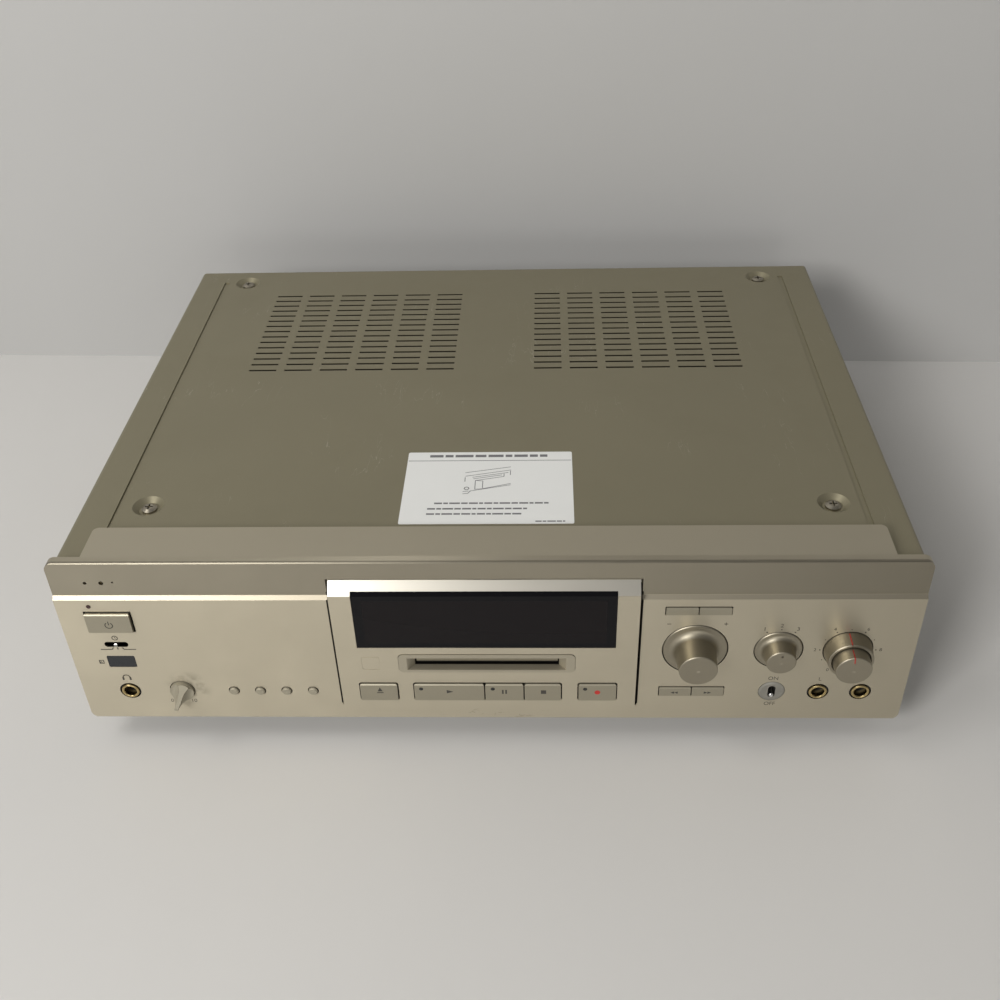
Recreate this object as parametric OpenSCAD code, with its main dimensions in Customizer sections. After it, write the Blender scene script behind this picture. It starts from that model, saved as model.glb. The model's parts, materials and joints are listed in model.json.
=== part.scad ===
// Full-width hi-fi minidisc deck, in millimetres.
// Lengths along y run from the main front face backwards and heights run from the
// lower edge of the front panel. placed() then shifts them to the part's own origin,
// which is on the floor under the middle of the deck.

/* [Front panel] */
// Width of the front panel
panel_w = 430; // [424:1:436]
// Height of the front panel
panel_h = 107; // [106:0.5:110]
// Thickness of the front panel
panel_t = 7; // [6.5:0.25:8]
// Rounding of the panel's corners, seen from the front
panel_r = 4.5; // [3:0.5:9]
// Height of the bright ledge above the panel's lower edge
ledge_z = 84.6; // [83:0.2:86]
// How far the upper band is set back
ledge_d = 1.8; // [1.5:0.1:2.6]
// Length of the lip that runs back from the panel's top edge
lip_len = 23; // [18:1:26]

/* [Case] */
// Depth from the front face to the cover's rear edge
case_d = 331; // [325:1:340]
// Height of the cover's top above the panel's lower edge
cover_z = 101; // [99:0.5:103]
// Width of the cover
cover_w = 429; // [424:1:429]
// Thickness of the sheet metal
sheet = 1.2; // [1:0.1:1.5]
// Height of a foot with its pad, below the panel
foot_h = 18; // [16:0.5:20]
// Radius of a foot
foot_r = 29; // [24:1:31]

/* [Centre block] */
// Width of the centre block
block_w = 152.8; // [150:0.4:153.2]
// How far the centre block stands out
block_out = 3; // [2:0.25:3.5]
// Width of the gap round the centre block
block_gap = 1.1; // [0.8:0.1:1.4]
// Width of the display window
window_w = 130.4; // [124:0.4:132]

/* [Disc slot] */
// Width of the disc slot
slot_w = 73.4; // [73:0.2:74]
// Height of the disc slot
slot_h = 6.6; // [6.2:0.2:7]
// Height of the slot's middle above the panel's lower edge
slot_z = 44; // [43:0.5:45]
// Drop of the cartridge onto the spindle
holder_drop = 4.5; // [4:0.25:5]

/* [Knobs] */
// How far the jog knob stands out
jog_out = 15.5; // [15:0.1:16.5]
// How far the input knob stands out
input_out = 9.6; // [8:0.2:11]
// How far the inner record level knob stands out
level_out = 15; // [13.5:0.1:15]
// Radius of the jog knob's flange
jog_r = 16.2; // [14:0.2:16.4]
// Radius of the input knob's flange
input_r = 12; // [11:0.2:12.1]
// Radius of the outer record level knob
level_r = 12.1; // [11:0.1:12.1]

/* [Vents] */
// Rows of slots in each vent block
vent_rows = 15; // [6:1:15]
// Slots across each vent block
vent_cols = 6; // [3:1:6]

/* [Hidden] */
$fn = 48;

gold = "#a89c84";
dark_gold = "#6f6852";
steel = "#9a9c9e";
black = "#1b1b1d";

// Rear panel, and the phono sockets that stand out of it
rear_y = case_d - 2;
pin_r = 4.15;
pin_len = 9.3;

// The front face lies this far from the part's origin
front_y = -(rear_y + sheet + pin_len - jog_out) / 2;

// Controls: [x, z] of each centre on the front
power_c = [-189.6, 70.2];
power_size = [24.2, 13.9];
lamp_c = [-197.9, 80.4];
lamp_r = 1.1;
timer_c = [-189.7, 54.4];
timer_size = [12.3, 3.5];
sensor_c = [-189.6, 42.2];
sensor_size = [14.7, 8.1];
sensor_r = 0.8;
phones_c = [-189.8, 20.6];
phones_level_c = [-161.9, 21];
phones_level_r = 6.3;
phones_level_h = 8.4;
phones_level_turn = 22;
pointer_tip = 8.2;
function_x = [-134.3, -120.3, -106.3, -92.3];
function_z = 20.8;
function_r = 2.95;
edit_c = [105.4, 77.2];
edit_size = [33, 5.6];
search_c = [105.5, 20.9];
search_size = [34.1, 7];
jog_c = [105.4, 51];
input_c = [147.1, 50.6];
level_c = [181.6, 50.6];
toggle_c = [146.9, 20.9];
toggle_r = 6.7;
toggle_tilt = 18;
toggle_arm = 7.5;
toggle_y = 7;
mic_x = [170.7, 192.4];
mic_z = 20.7;
jack_centres = [phones_c, [mic_x[0], mic_z], [mic_x[1], mic_z]];
jack_hole_r = 5.6;
jack_bore_r = 3.2;
jack_bead_r = 0.75;
jack_bush_r = 3.9;
badge_holes = [[-196.9, 94.4, 0.9], [-188.8, 94.4, 1.2], [-183, 94.9, 0.5]];

// Transport buttons on the centre block
button_z = 23.55;
button_h = 13;
key_bevel = 0.55;
eject_x = [-67, -46.4];
trio_x = [-38.8, 38.5];
trio_split = [-1.6, 18.8];
key_split = 0.3;
record_x = [46.4, 67];
button_play = 0.6;

// Planes behind the front
frame_y = 9.5;
board_y = 20;
switch_y = 16.4;
stem_y = 15;

// Centre block
block_z0 = 11.4;
block_slope_z = 89.4;
slope_run = block_out + 2.6;
block_top = block_slope_z + slope_run + 0.5;
block_wall = 3;
window_z0 = 54.8;
window_top = 91.3;

// Axis of the slot flap: [y, z]
flap_axis = [2.2, slot_z + 3.9];

// Top cover
screw_x = 178.5;
screw_y = [56, 315];
dimple_r = 8.4;
dimple_floor_r = 5.3;
dimple_d = 2.6;
side_dimple_r = 6.6;
side_dimple_d = 2.3;
side_screw_y = [70, 260];
side_screw_z = 14;
groove_x = 193.5;
groove_w = 3.2;
vent_len = 17.05;
vent_pitch_x = 22.1;
vent_pitch_y = 7.1;
vent_w = 1.9;
vent_y0 = 194.2;
vent_x0 = [-153.3, 23.7];
lip_w = 396;

// Rear screws
rear_screw_x = [-196, -60, 20, 196];
rear_screw_z = 93;

// Feet
foot_x = 165;
foot_ys = [48, 292];
foot_seat_z = 12 - foot_h;

// Rear sockets: [x, z]
line_x = [118, 136];
line_z = [38, 58];
coax_c = [78, 58];
optical_c = [78, 38];
inlet_c = [-150, 34];

// Boards on the base: standoffs at [x, y]
board_z = 10;
board_top = board_z + 1.6;
power_posts = [for (x = [-200, -104], y = [70, 156]) [x, y]];
main_posts = [for (x = [80, 200], y = [70, 190, 304]) [x, y]];

// Spacers that hold the boards behind the front: [x, z]
spacers = [for (x = [-150, -100, 125, 158], z = [14, 79]) [x, z]];
key_spacers = [for (x = [-73.6, 73.6]) [x, 21]];
display_spacers = [for (x = [-73.6, 73.6], z = [60, 86]) [x, z]];
display_board_y = 17;

// Disc drive
disc_y = 54;
holder_w = 75.6;
holder_h = 8.2;
holder_y = [17, 86];
pin_y = [34, 74];
drive_x = 50;
drive_z = 28;
drive_y = [24, 122];
rod_y = [39, 69];
rod_z = 25.2;
rod_r = 1.5;
pickup_x = 11.5;
screw_axis_y = 77;
screw_pitch = 2;
slider_travel = 12;
gear_r = 6;
gear_teeth = 16;
tooth_pitch = PI * 2 * gear_r / gear_teeth;
rack_y0 = 61;
rack_z = 32.6;
gear_y = rack_y0 + 6.5 * tooth_pitch;
gear_z = rack_z - gear_r;
arm_pivot = [98, 56];

// ---- shared shapes ----

module placed() {
    translate([0, front_y, foot_h]) children();
}

// A box from one corner to the other
module span(x, y, z) {
    translate([x[0], y[0], z[0]]) cube([x[1] - x[0], y[1] - y[0], z[1] - z[0]]);
}

// A rounded rectangle about its middle
module round_rect(w, h, r) {
    union() {
        square([w - 2 * r, h], center = true);
        square([w, h - 2 * r], center = true);
        for (sx = [-1, 1], sz = [-1, 1])
            translate([sx * (w / 2 - r), sz * (h / 2 - r)]) circle(r);
    }
}

// An outline drawn as seen from the front, from y0 back to y1
module facing(y0, y1) {
    translate([0, y1, 0]) rotate([90, 0, 0]) linear_extrude(y1 - y0) children();
}

// A round bar along y at [x, z], from y0 back to y1
module bar_y(c, r, y0, y1) {
    translate([c[0], y0, c[1]]) rotate([-90, 0, 0]) cylinder(r = r, h = y1 - y0);
}

// A round bar along x at [y, z]
module bar_x(c, r, x0, x1) {
    translate([x0, c[0], c[1]]) rotate([0, 90, 0]) cylinder(r = r, h = x1 - x0);
}

// A turned form about the y axis at [x, z]: [radius, distance out of the face]
module turned(c, points) {
    translate([c[0], 0, c[1]]) rotate([90, 0, 0]) rotate_extrude($fn = 72) polygon(points);
}

// Points of an arc about [r, h], from one angle to the other
function arc(c, r, a0, a1, n = 6) =
    [for (i = [0:n]) c + r * [cos(a0 + (a1 - a0) * i / n), sin(a0 + (a1 - a0) * i / n)]];

// A pan-headed screw pointing down from its seat, with a cross recess
module pan_screw(head_r = 4.1, head_h = 2, shank_r = 1.8, shank = 7) {
    difference() {
        union() {
            cylinder(r = head_r, h = head_h * 0.55);
            translate([0, 0, head_h * 0.55])
                cylinder(r1 = head_r, r2 = head_r * 0.62, h = head_h * 0.45);
            translate([0, 0, -shank]) cylinder(r = shank_r, h = shank);
        }
        for (a = [0, 90])
            rotate(a) translate([-2.1, -0.45, head_h - 1.3]) cube([4.2, 0.9, 2]);
    }
}

// ---- enclosure ----

// Side view of the front panel: [y, z]
function panel_profile() = [
    [0.5, 0], [panel_t, 0], [panel_t, panel_h], [ledge_d + 0.5, panel_h],
    [ledge_d, panel_h - 0.5], [ledge_d, ledge_z + ledge_d], [0, ledge_z], [0, 0.5]];

// The panel's outline swept across, cut to its rounded front shape
module panel_plate() {
    intersection() {
        translate([panel_w / 2, 0, 0]) rotate([90, 0, -90])
            linear_extrude(panel_w) polygon([for (p = panel_profile()) [-p[0], p[1]]]);
        facing(-1, panel_t + 1) translate([0, panel_h / 2]) round_rect(panel_w, panel_h, panel_r);
    }
}

// The lip over the cover's front edge, with its hooked rear
module panel_lip() {
    lip_y1 = panel_t + lip_len;
    translate([0, 0, panel_h - 2.6]) linear_extrude(2.6) union() {
        translate([-lip_w / 2, panel_t - 1]) square([lip_w, lip_len - 2]);
        translate([-lip_w / 2 + 3, panel_t - 1]) square([lip_w - 6, lip_len + 1]);
        for (s = [-1, 1]) translate([s * (lip_w / 2 - 3), lip_y1 - 3]) circle(3);
    }
    span([-lip_w / 2 + 4, lip_w / 2 - 4], [lip_y1 - 2.5, lip_y1 - 0.6], [cover_z + 0.4, panel_h - 1]);
}

module front_panel() {
    color(gold) placed() difference() {
        union() {
            panel_plate();
            panel_lip();
            // Ribs that stiffen the plate behind the centre opening
            for (s = [-1, 1]) span([s * 81 - 1.5, s * 81 + 1.5], [panel_t - 1, 9.2], [8, 99]);
        }
        // Opening for the centre block
        facing(-5, 12) translate([0, (block_z0 + block_top) / 2])
            square([block_w + 2 * block_gap, block_top - block_z0 + 2 * block_gap], center = true);
        facing(-2, 12) translate(power_c) round_rect(power_size[0], power_size[1], 0.6);
        bar_y(lamp_c, lamp_r + 0.1, -2, 12);
        facing(-2, 12) translate(timer_c) round_rect(timer_size[0], timer_size[1], 1.59);
        facing(-2, 12) translate(sensor_c) round_rect(sensor_size[0], sensor_size[1], sensor_r);
        for (c = jack_centres) bar_y(c, jack_hole_r, -2, 12);
        bar_y(phones_level_c, phones_level_r + 0.4, -2, 3);
        bar_y(phones_level_c, 4.2, -2, 12);
        for (x = function_x) bar_y([x, function_z], function_r, -2, 12);
        facing(-2, 12) translate(edit_c) round_rect(edit_size[0], edit_size[1], 0.5);
        facing(-2, 12) translate(search_c) round_rect(search_size[0], search_size[1], 0.5);
        bar_y(jog_c, jog_r + 0.5, -2, 3);
        bar_y(jog_c, 5.6, -2, 12);
        bar_y(input_c, input_r + 0.45, -2, 3);
        bar_y(input_c, 5.6, -2, 12);
        bar_y(level_c, level_r + 0.45, -2, 4);
        bar_y(level_c, 5.6, -2, 12);
        bar_y(toggle_c, toggle_r + 0.2, -2, 12);
        for (h = badge_holes) bar_y([h[0], h[1]], h[2], -2, 5);
        // Hollows milled into the back, which leave a thinner wall at the knobs
        for (s = [-1, 1]) facing(panel_t - 1.6, panel_t + 1) translate([s * 148, 46])
            round_rect(112, 74, 4);
    }
}

// Cross-section of the centre block: [y, z]
module block_profile(inset) {
    z1 = block_top - inset;
    polygon([[-block_out + inset, block_z0 + inset], [9 + inset, block_z0 + inset],
        [9 + inset, z1], [slope_run - block_out, z1],
        [-block_out + inset, block_slope_z - inset * 0.6]]);
}

module block_solid(w, inset) {
    translate([w / 2, 0, 0]) rotate([90, 0, -90]) linear_extrude(w)
        mirror([1, 0]) block_profile(inset);
}

module centre_panel() {
    color(gold) placed() difference() {
        union() {
            block_solid(block_w, 0);
            // Flange that seats behind the front panel
            facing(panel_t + 0.3, 9) translate([0, 53]) round_rect(158, 90, 2);
        }
        difference() {
            block_solid(block_w - 2 * block_wall, block_wall);
            // Bosses for the display window and the drive's screws
            for (x = [-70, 70], z = [33, 52]) bar_y([x, z], 3, -4, 12);
        }
        facing(-6, 12) translate([0, (window_z0 + window_top + 6) / 2])
            square([window_w + 0.3, window_top + 6 - window_z0], center = true);
        facing(-6, 12) translate([0, slot_z]) round_rect(90.4, 12.8, 2.6);
        for (span_x = [eject_x, trio_x, record_x])
            facing(-6, 12) translate([(span_x[0] + span_x[1]) / 2, button_z])
                round_rect(span_x[1] - span_x[0], button_h, 1.5);
        // Shallow round-cornered outline beside the slot, left bare
        facing(-6, -block_out + 0.15) translate([-59.2, slot_z]) difference() {
            round_rect(9.4, 9, 1.4);
            round_rect(8.8, 8.4, 1.1);
        }
    }
    color(gold) placed() difference() {
        // Bridge between the window and the sloping top
        intersection() {
            block_solid(window_w + 1, 0);
            span([-window_w / 2 - 0.5, window_w / 2 + 0.5], [-4, 9], [window_top, block_top + 1]);
        }
        block_solid(window_w + 2, block_wall * 0.6);
    }
}

module display_window() {
    color(black) placed() intersection() {
        difference() {
            translate([0, 0.15, 0]) block_solid(window_w, 0);
            translate([0, 2.2, 0]) block_solid(window_w - 3, 0);
        }
        span([-window_w / 2, window_w / 2], [-4, 5], [window_z0 + 0.15, window_top - 0.1]);
    }
}

// A four-sided funnel from the mouth in to the slot
module slot_funnel() {
    hull() {
        facing(-4, -3.95) translate([0, slot_z - 0.4]) square([83, 8.6], center = true);
        facing(0.2, 0.25) translate([0, slot_z - 0.2]) square([slot_w, slot_h + 0.2], center = true);
    }
}

module slot_bezel() {
    color(gold) placed() difference() {
        union() {
            facing(-block_out - 0.35, 0.2) translate([0, slot_z]) round_rect(90, 12.4, 2.5);
            facing(0, 6) translate([0, slot_z]) round_rect(80, 11.6, 1);
        }
        slot_funnel();
        facing(0.15, 7) translate([0, slot_z]) square([slot_w, slot_h], center = true);
        // Room for the flap to swing up inside
        span([-slot_w / 2 - 0.4, slot_w / 2 + 0.4], [0.7, 7], [slot_z - slot_h / 2, slot_z + 5.2]);
        // Holes for the flap's pins
        bar_x(flap_axis, 0.56, -39.5, 39.5);
    }
}

module slot_flap() {
    color(gold) placed() {
        span([-36.3, 36.3], [1, 1.9], [slot_z - slot_h / 2 + 0.35, slot_z + 3.6]);
        bar_x(flap_axis, 0.9, -36.3, 36.3);
        bar_x(flap_axis, 0.5, -39.2, 39.2);
        // Stiffening ribs down the back of the flap
        for (x = [-24, 0, 24]) span([x - 0.5, x + 0.5], [1.8, 2.5], [slot_z - 2, slot_z + 3.6]);
    }
}

// Profile of the U-shaped cover, seen from the front
module cover_section() {
    difference() {
        translate([0, (cover_z + 1) / 2]) round_rect(cover_w, cover_z - 1, 2.6);
        translate([0, (cover_z + 1) / 2 - sheet - 1])
            round_rect(cover_w - 2 * sheet, cover_z - 1 + 2 - 2 * sheet + sheet, 1.4);
        translate([-cover_w / 2 - 1, -2]) square([cover_w + 2, 3.5]);
    }
}

// One pressed dish for a screw, from its rim down to its floor
module dimple(rim_r, floor_r, depth) {
    rotate_extrude() polygon([
        [2.3, -depth - sheet], [floor_r + 0.3, -depth - sheet],
        [rim_r + 0.4, -sheet], [rim_r + 1, -sheet], [rim_r + 1, 0], [rim_r, 0],
        [floor_r + 0.6, -depth + 0.5], [floor_r, -depth], [2.3, -depth]]);
}

// Places its child at each side screw, with +z pointing out of the case
module at_side_screws(x) {
    for (s = [-1, 1], y = side_screw_y)
        translate([s * x, y, side_screw_z]) rotate([0, s * 90, 0]) children();
}

// Places its child at each of the cover's top screws
module at_top_screws(z) {
    for (s = [-1, 1], y = screw_y) translate([s * screw_x, y, z]) children();
}

module top_cover() {
    color(dark_gold) placed() difference() {
        union() {
            difference() {
                facing(panel_t + 0.4, case_d) cover_section();
                at_top_screws(cover_z - 3) cylinder(r = dimple_r + 0.9, h = 5);
                at_side_screws(cover_w / 2 - 3) cylinder(r = side_dimple_r + 0.9, h = 5);
            }
            at_top_screws(cover_z) dimple(dimple_r, dimple_floor_r, dimple_d);
            at_side_screws(cover_w / 2) dimple(side_dimple_r, 5, side_dimple_d);
            // Underside of the long pressed grooves
            for (s = [-1, 1]) span([s * groove_x - 2.6, s * groove_x + 2.6], [32, 317.5],
                [cover_z - 1.9, cover_z - sheet + 0.1]);
            // Return flanges along the lower edges
            for (s = [-1, 1]) span([s * 209.5 - 4.4, s * 209.5 + 4.4], [14, case_d - 6], [1.5, 2.5]);
        }
        for (s = [-1, 1])
            span([s * groove_x - groove_w / 2, s * groove_x + groove_w / 2], [30, 316],
                [cover_z - 0.8, cover_z + 1]);
        for (x0 = vent_x0, i = [0:vent_cols - 1], j = [0:vent_rows - 1])
            translate([x0 + i * vent_pitch_x, vent_y0 + j * vent_pitch_y - vent_w / 2, cover_z - 4])
                cube([vent_len, vent_w, 6]);
    }
}

// Instruction label on the cover, left blank
module cover_label() {
    color("white") placed() translate([0, 71.3, cover_z]) linear_extrude(0.12)
        round_rect(90, 64, 1);
}

module case_screws() {
    color(steel) placed() {
        at_top_screws(cover_z - dimple_d) pan_screw();
        at_side_screws(cover_w / 2 - side_dimple_d) pan_screw(shank = 4);
        for (x = rear_screw_x) translate([x, rear_y + sheet, rear_screw_z]) rotate([-90, 0, 0])
            pan_screw(head_r = 3.2, head_h = 1.8, shank_r = 1.45, shank = 6);
        for (x = [-foot_x, foot_x], y = foot_ys)
            translate([x, y, foot_seat_z]) rotate([180, 0, 0]) pan_screw(shank = 11);
    }
}

// Stamped base tray with turned-up edges, ribs, vents and standoffs
module base_chassis() {
    color(steel) placed() difference() {
        union() {
            span([-211, 211], [9, rear_y - 0.3], [3, 3 + sheet]);
            for (s = [-1, 1]) span([s * 211 - (s > 0 ? sheet : 0), s * 211 + (s > 0 ? 0 : sheet)],
                [9, rear_y - 0.3], [3, 24]);
            span([-211, 211], [9, 9 + 0.5], [3, 6]);
            // Posts that the cover's top screws bite into
            at_top_screws(3) cylinder(r = 4.5, h = cover_z - dimple_d - sheet - 3);
            // Pressed stiffening ribs
            for (x = [-70, 62]) translate([x, 170, 3 + sheet]) linear_extrude(1.4)
                round_rect(8, 250, 3.9);
            // Standoffs under the boards
            for (p = concat(power_posts, main_posts)) translate([p[0], p[1], 4])
                cylinder(r = 3, h = board_z - 4);
        }
        // Vent slots under the transformer and the main board
        for (x = [-180:14:-96]) span([x, x + 4], [170, 178], [2, 6]);
        for (x = [90:12:190], y = [215, 250]) translate([x, y, 3.6]) linear_extrude(4, center = true)
            round_rect(4, 26, 1.9);
        // Screw holes over the feet and in the posts
        for (x = [-foot_x, foot_x], y = foot_ys) translate([x, y, 2]) cylinder(r = 1.85, h = 4);
        at_top_screws(cover_z - 16) cylinder(r = 1.85, h = 20);
        at_side_screws(208) cylinder(r = 1.85, h = 4);
    }
}

// Steel frame that carries the front panel
module front_frame() {
    color(steel) placed() difference() {
        union() {
            facing(frame_y, frame_y + sheet) translate([0, 52]) round_rect(414, 92, 2);
            span([-205, 205], [frame_y, 19], [6, 6 + sheet]);
            span([-205, 205], [frame_y, 28], [98 - sheet, 98]);
            for (c = concat(spacers, key_spacers)) bar_y(c, 2.2, frame_y + 0.5, board_y);
            for (c = display_spacers) bar_y(c, 2.2, frame_y + 0.5, display_board_y);
        }
        facing(0, 12) translate([0, 52]) square([142, 84], center = true);
        for (c = [jog_c, input_c, level_c, phones_level_c]) bar_y(c, 4.6, 5, 12);
        facing(0, 12) translate(power_c) round_rect(power_size[0], power_size[1], 0.6);
        bar_y(lamp_c, 1.75, 5, 12);
        facing(0, 12) translate(timer_c) round_rect(timer_size[0] + 2, timer_size[1] + 1, 1);
        facing(0, 12) translate(sensor_c) round_rect(12, 6, 0.4);
        for (c = jack_centres) bar_y(c, 5, 5, 12);
        for (x = function_x) bar_y([x, function_z], function_r, 5, 12);
        for (c = [edit_c, search_c]) facing(0, 12) translate(c) round_rect(36, 7.4, 0.5);
        bar_y(toggle_c, 4.6, 5, 12);
        // Lightening holes across the left of the frame
        for (x = [-160:18:-88], z = [42, 62]) bar_y([x, z], 5.5, 5, 12);
    }
}

module rear_panel() {
    color(black) placed() difference() {
        union() {
            facing(rear_y, rear_y + sheet) translate([0, 51]) round_rect(422, 96, 1);
            span([-205, 205], [rear_y - 4, rear_y + 0.1], [98 - sheet, 98]);
        }
        for (x = line_x, z = line_z) bar_y([x, z], pin_r + 1.2, rear_y - 5, case_d);
        bar_y(coax_c, pin_r + 1.2, rear_y - 5, case_d);
        facing(rear_y - 1, case_d) translate(optical_c) square([11, 10.5], center = true);
        facing(rear_y - 1, case_d) translate(inlet_c) round_rect(22, 13, 2);
        // Vent slots above the transformer
        for (x = [-110:8:-30]) facing(rear_y - 1, case_d) translate([x, 62]) round_rect(3, 36, 1.45);
        for (x = rear_screw_x) bar_y([x, rear_screw_z], 1.5, rear_y - 15, case_d);
    }
}

// Four turned feet with an open underside
module feet() {
    color(black) placed() for (x = [-foot_x, foot_x], y = foot_ys) translate([x, y, -foot_h])
        rotate_extrude($fn = 72) polygon([
            [2.2, 12], [7, 12], [7, 3.2], [foot_r - 8, 3.2], [foot_r - 8, 1],
            [foot_r - 2.5, 1], [foot_r - 1.5, 2], [foot_r, foot_h + 1.5], [foot_r - 1, foot_h + 3],
            [2.2, foot_h + 3]]);
}

module foot_pads() {
    color("#2b2b2b") placed() for (x = [-foot_x, foot_x], y = foot_ys) translate([x, y, -foot_h])
        difference() {
            cylinder(r = foot_r - 8.2, h = 3.2, $fn = 72);
            translate([0, 0, -1]) cylinder(r = 7.2, h = 6);
        }
}

// ---- front controls ----

module power_lamp() {
    color("#5a1a14") placed() {
        bar_y(lamp_c, lamp_r, -0.2, 8);
        bar_y(lamp_c, lamp_r + 0.25, panel_t + 0.1, board_y);
    }
}

module sensor_window() {
    color(black) placed() {
        facing(0.1, 5.5) translate(sensor_c)
            round_rect(sensor_size[0] - 0.2, sensor_size[1] - 0.2, sensor_r - 0.1);
        facing(panel_t - 1.6, panel_t) translate(sensor_c)
            round_rect(sensor_size[0] + 3, sensor_size[1] + 3, 0.6);
    }
}

// One jack: a turned bush whose rounded lip stands in a dark ring, and its contact block
module jack(c) {
    lip_mid = jack_bore_r + jack_bead_r;
    lip_r = lip_mid + jack_bead_r;
    turned(c, concat([[jack_bush_r, -0.7]], arc([lip_mid, 0], jack_bead_r, 180, 0, 8), [[lip_r, -1.4],
        [jack_hole_r - 0.1, -1.4], [jack_hole_r - 0.1, -5], [4.8, -5], [4.8, -12], [jack_bush_r, -12]]));
    difference() {
        translate([c[0], 0, c[1]]) span([-7.5, 7.5], [frame_y + sheet, 26], [-8, 8]);
        bar_y(c, jack_bore_r, 10, 24);
    }
}

module front_jacks() {
    color("#b08d3c") placed() for (c = jack_centres) jack(c);
}

module toggle_bush() {
    color(steel) placed() difference() {
        union() {
            turned(toggle_c, [[0, 0.35], [5.6, 0.35], [toggle_r, 0.05], [toggle_r, -2.5], [0, -2.5]]);
            bar_y(toggle_c, 4.4, 2, 13);
            translate([toggle_c[0], 0, toggle_c[1]])
                span([-5, 5], [frame_y + sheet, 19.7], [-6.5, 6.5]);
        }
        facing(-2, 14) translate(toggle_c) round_rect(3.8, 8, 1.85);
        bar_x([toggle_y, toggle_c[1]], 0.66, toggle_c[0] - 3, toggle_c[0] + 3);
    }
}

// Bat lever on its cross pin, resting downwards
module mic_toggle() {
    color("#d8dade") placed() {
        translate([toggle_c[0], toggle_y, toggle_c[1]]) rotate([toggle_tilt, 0, 0])
            rotate([90, 0, 0]) rotate_extrude() polygon(concat([[0, -3], [1.1, -3], [1.1, 0],
                [0.95, 3], [1.05, toggle_arm - 1.4]], arc([0, toggle_arm], 1.3, 0, 90), [[0, toggle_arm]]));
        bar_x([toggle_y, toggle_c[1]], 0.6, toggle_c[0] - 2.8, toggle_c[0] + 2.8);
    }
}

module power_button() {
    color(gold) placed() {
        w = power_size[0] - 1.5;
        h = power_size[1] - 1.5;
        // Bevelled cap
        intersection() {
            facing(-1.9, 5) translate(power_c) round_rect(w, h, 0.5);
            translate([power_c[0] + w / 2, 0, power_c[1] - h / 2]) rotate([90, 0, -90])
                linear_extrude(w) polygon([[-5, 0], [1.6, 0], [1.9, 0.3], [1.9, h - key_bevel],
                    [1.9 - key_bevel, h], [-5, h]]);
        }
        span([power_c[0] - 2, power_c[0] + 2], [4, 12.6], [power_c[1] - 2, power_c[1] + 2]);
        // Guide fins either side of the plunger
        for (s = [-1, 1]) span([power_c[0] + s * 8 - 0.6, power_c[0] + s * 8 + 0.6], [4, 13.5],
            [power_c[1] - 3, power_c[1] + 3]);
    }
}

module timer_lever() {
    color("#d8dade") placed() {
        translate([timer_c[0], 0, timer_c[1]]) {
            // Rounded tip of a bent steel lever
            intersection() {
                facing(-1.2, 10) round_rect(1.7, 2.4, 0.6);
                translate([-1, 0, 0]) rotate([0, 90, 0]) linear_extrude(2)
                    polygon(concat([[1.2, 10]], arc([0, 0.4], 1.6, -42, -138, 8), [[-1.2, 10]]));
            }
            span([-2.5, 2.5], [9.9, 17.5], [-1.2, 1.2]);
        }
    }
}

// The pointer knob seen from the front, pointing down: a disc drawn out to a waisted tip
module pointer_plan() {
    waist_r = 5;
    waist_x = 1.25 + waist_r;
    plan_r = phones_level_r - 0.3;
    reach = plan_r + waist_r;
    waist_z = -sqrt(reach * reach - waist_x * waist_x);
    circle(plan_r);
    difference() {
        translate([-3.6, -pointer_tip]) square([7.2, pointer_tip]);
        for (s = [-1, 1]) translate([s * waist_x, waist_z]) circle(waist_r, $fn = 72);
    }
}

// Pointer knob: a ridge with hollow flanks that rises towards its overhanging tip
module phones_level_knob() {
    flank = 5.2;
    color(gold) placed() {
        turned(phones_level_c, [[0, -2.6], [phones_level_r, -2.6], [phones_level_r, 1.5], [0, 1.5]]);
        translate([phones_level_c[0], 0, phones_level_c[1]]) rotate([0, phones_level_turn, 0])
            intersection() {
                facing(-phones_level_h - 1, -0.3) pointer_plan();
                // Section across the ridge
                rotate([180, 0, 0]) translate([0, 0, -10]) linear_extrude(20)
                    polygon(concat([[-6.4, 0], [-6.4, 1.3]],
                        arc([-1.1 - flank, 1.3 + flank], flank, -90, 0, 8), [[-0.9, 9], [0.9, 9]],
                        arc([1.1 + flank, 1.3 + flank], flank, 180, 270, 8), [[6.4, 1.3], [6.4, 0]]));
                // Side view of the ridge
                translate([-8, 0, 0]) rotate([90, 0, 90]) linear_extrude(16) polygon([
                    [0, -9], [-1, -pointer_tip + 0.02], [-7.6, -pointer_tip + 0.02],
                    [-phones_level_h, -7.4], [-phones_level_h + 0.1, -6], [-4.4, 3.4], [-1.8, 6.6],
                    [0, 6.6]]);
            }
        bar_y(phones_level_c, 3, 2.5, 16);
    }
}

// One small round button with its stem
module round_button(x) {
    color(gold) placed() {
        turned([x, function_z], [[0, 1.3], [1.9, 1.3], [2.45, 0.8], [2.45, -6], [0, -6]]);
        bar_y([x, function_z], 1.6, 5.5, stem_y);
    }
}

module clock_button() { round_button(function_x[0]); }
module mode_button() { round_button(function_x[1]); }
module repeat_button() { round_button(function_x[2]); }
module display_button() { round_button(function_x[3]); }

// A flat key between x0 and x1 whose bevelled upper edge catches the light
module bar_key(x, z, h, out, back, face, corner) {
    w = x[1] - x[0];
    intersection() {
        facing(face - out, back) translate([(x[0] + x[1]) / 2, z]) round_rect(w, h, corner);
        translate([x[1], face, z - h / 2]) rotate([90, 0, -90]) linear_extrude(w)
            polygon([[-back + face - 1, 0], [out - 0.3, 0], [out, 0.3], [out, h - key_bevel],
                [out - key_bevel, h], [-back + face - 1, h]]);
    }
    span([(x[0] + x[1]) / 2 - 1.6, (x[0] + x[1]) / 2 + 1.6], [back - 0.5, stem_y], [z - 1.6, z + 1.6]);
}

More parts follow.
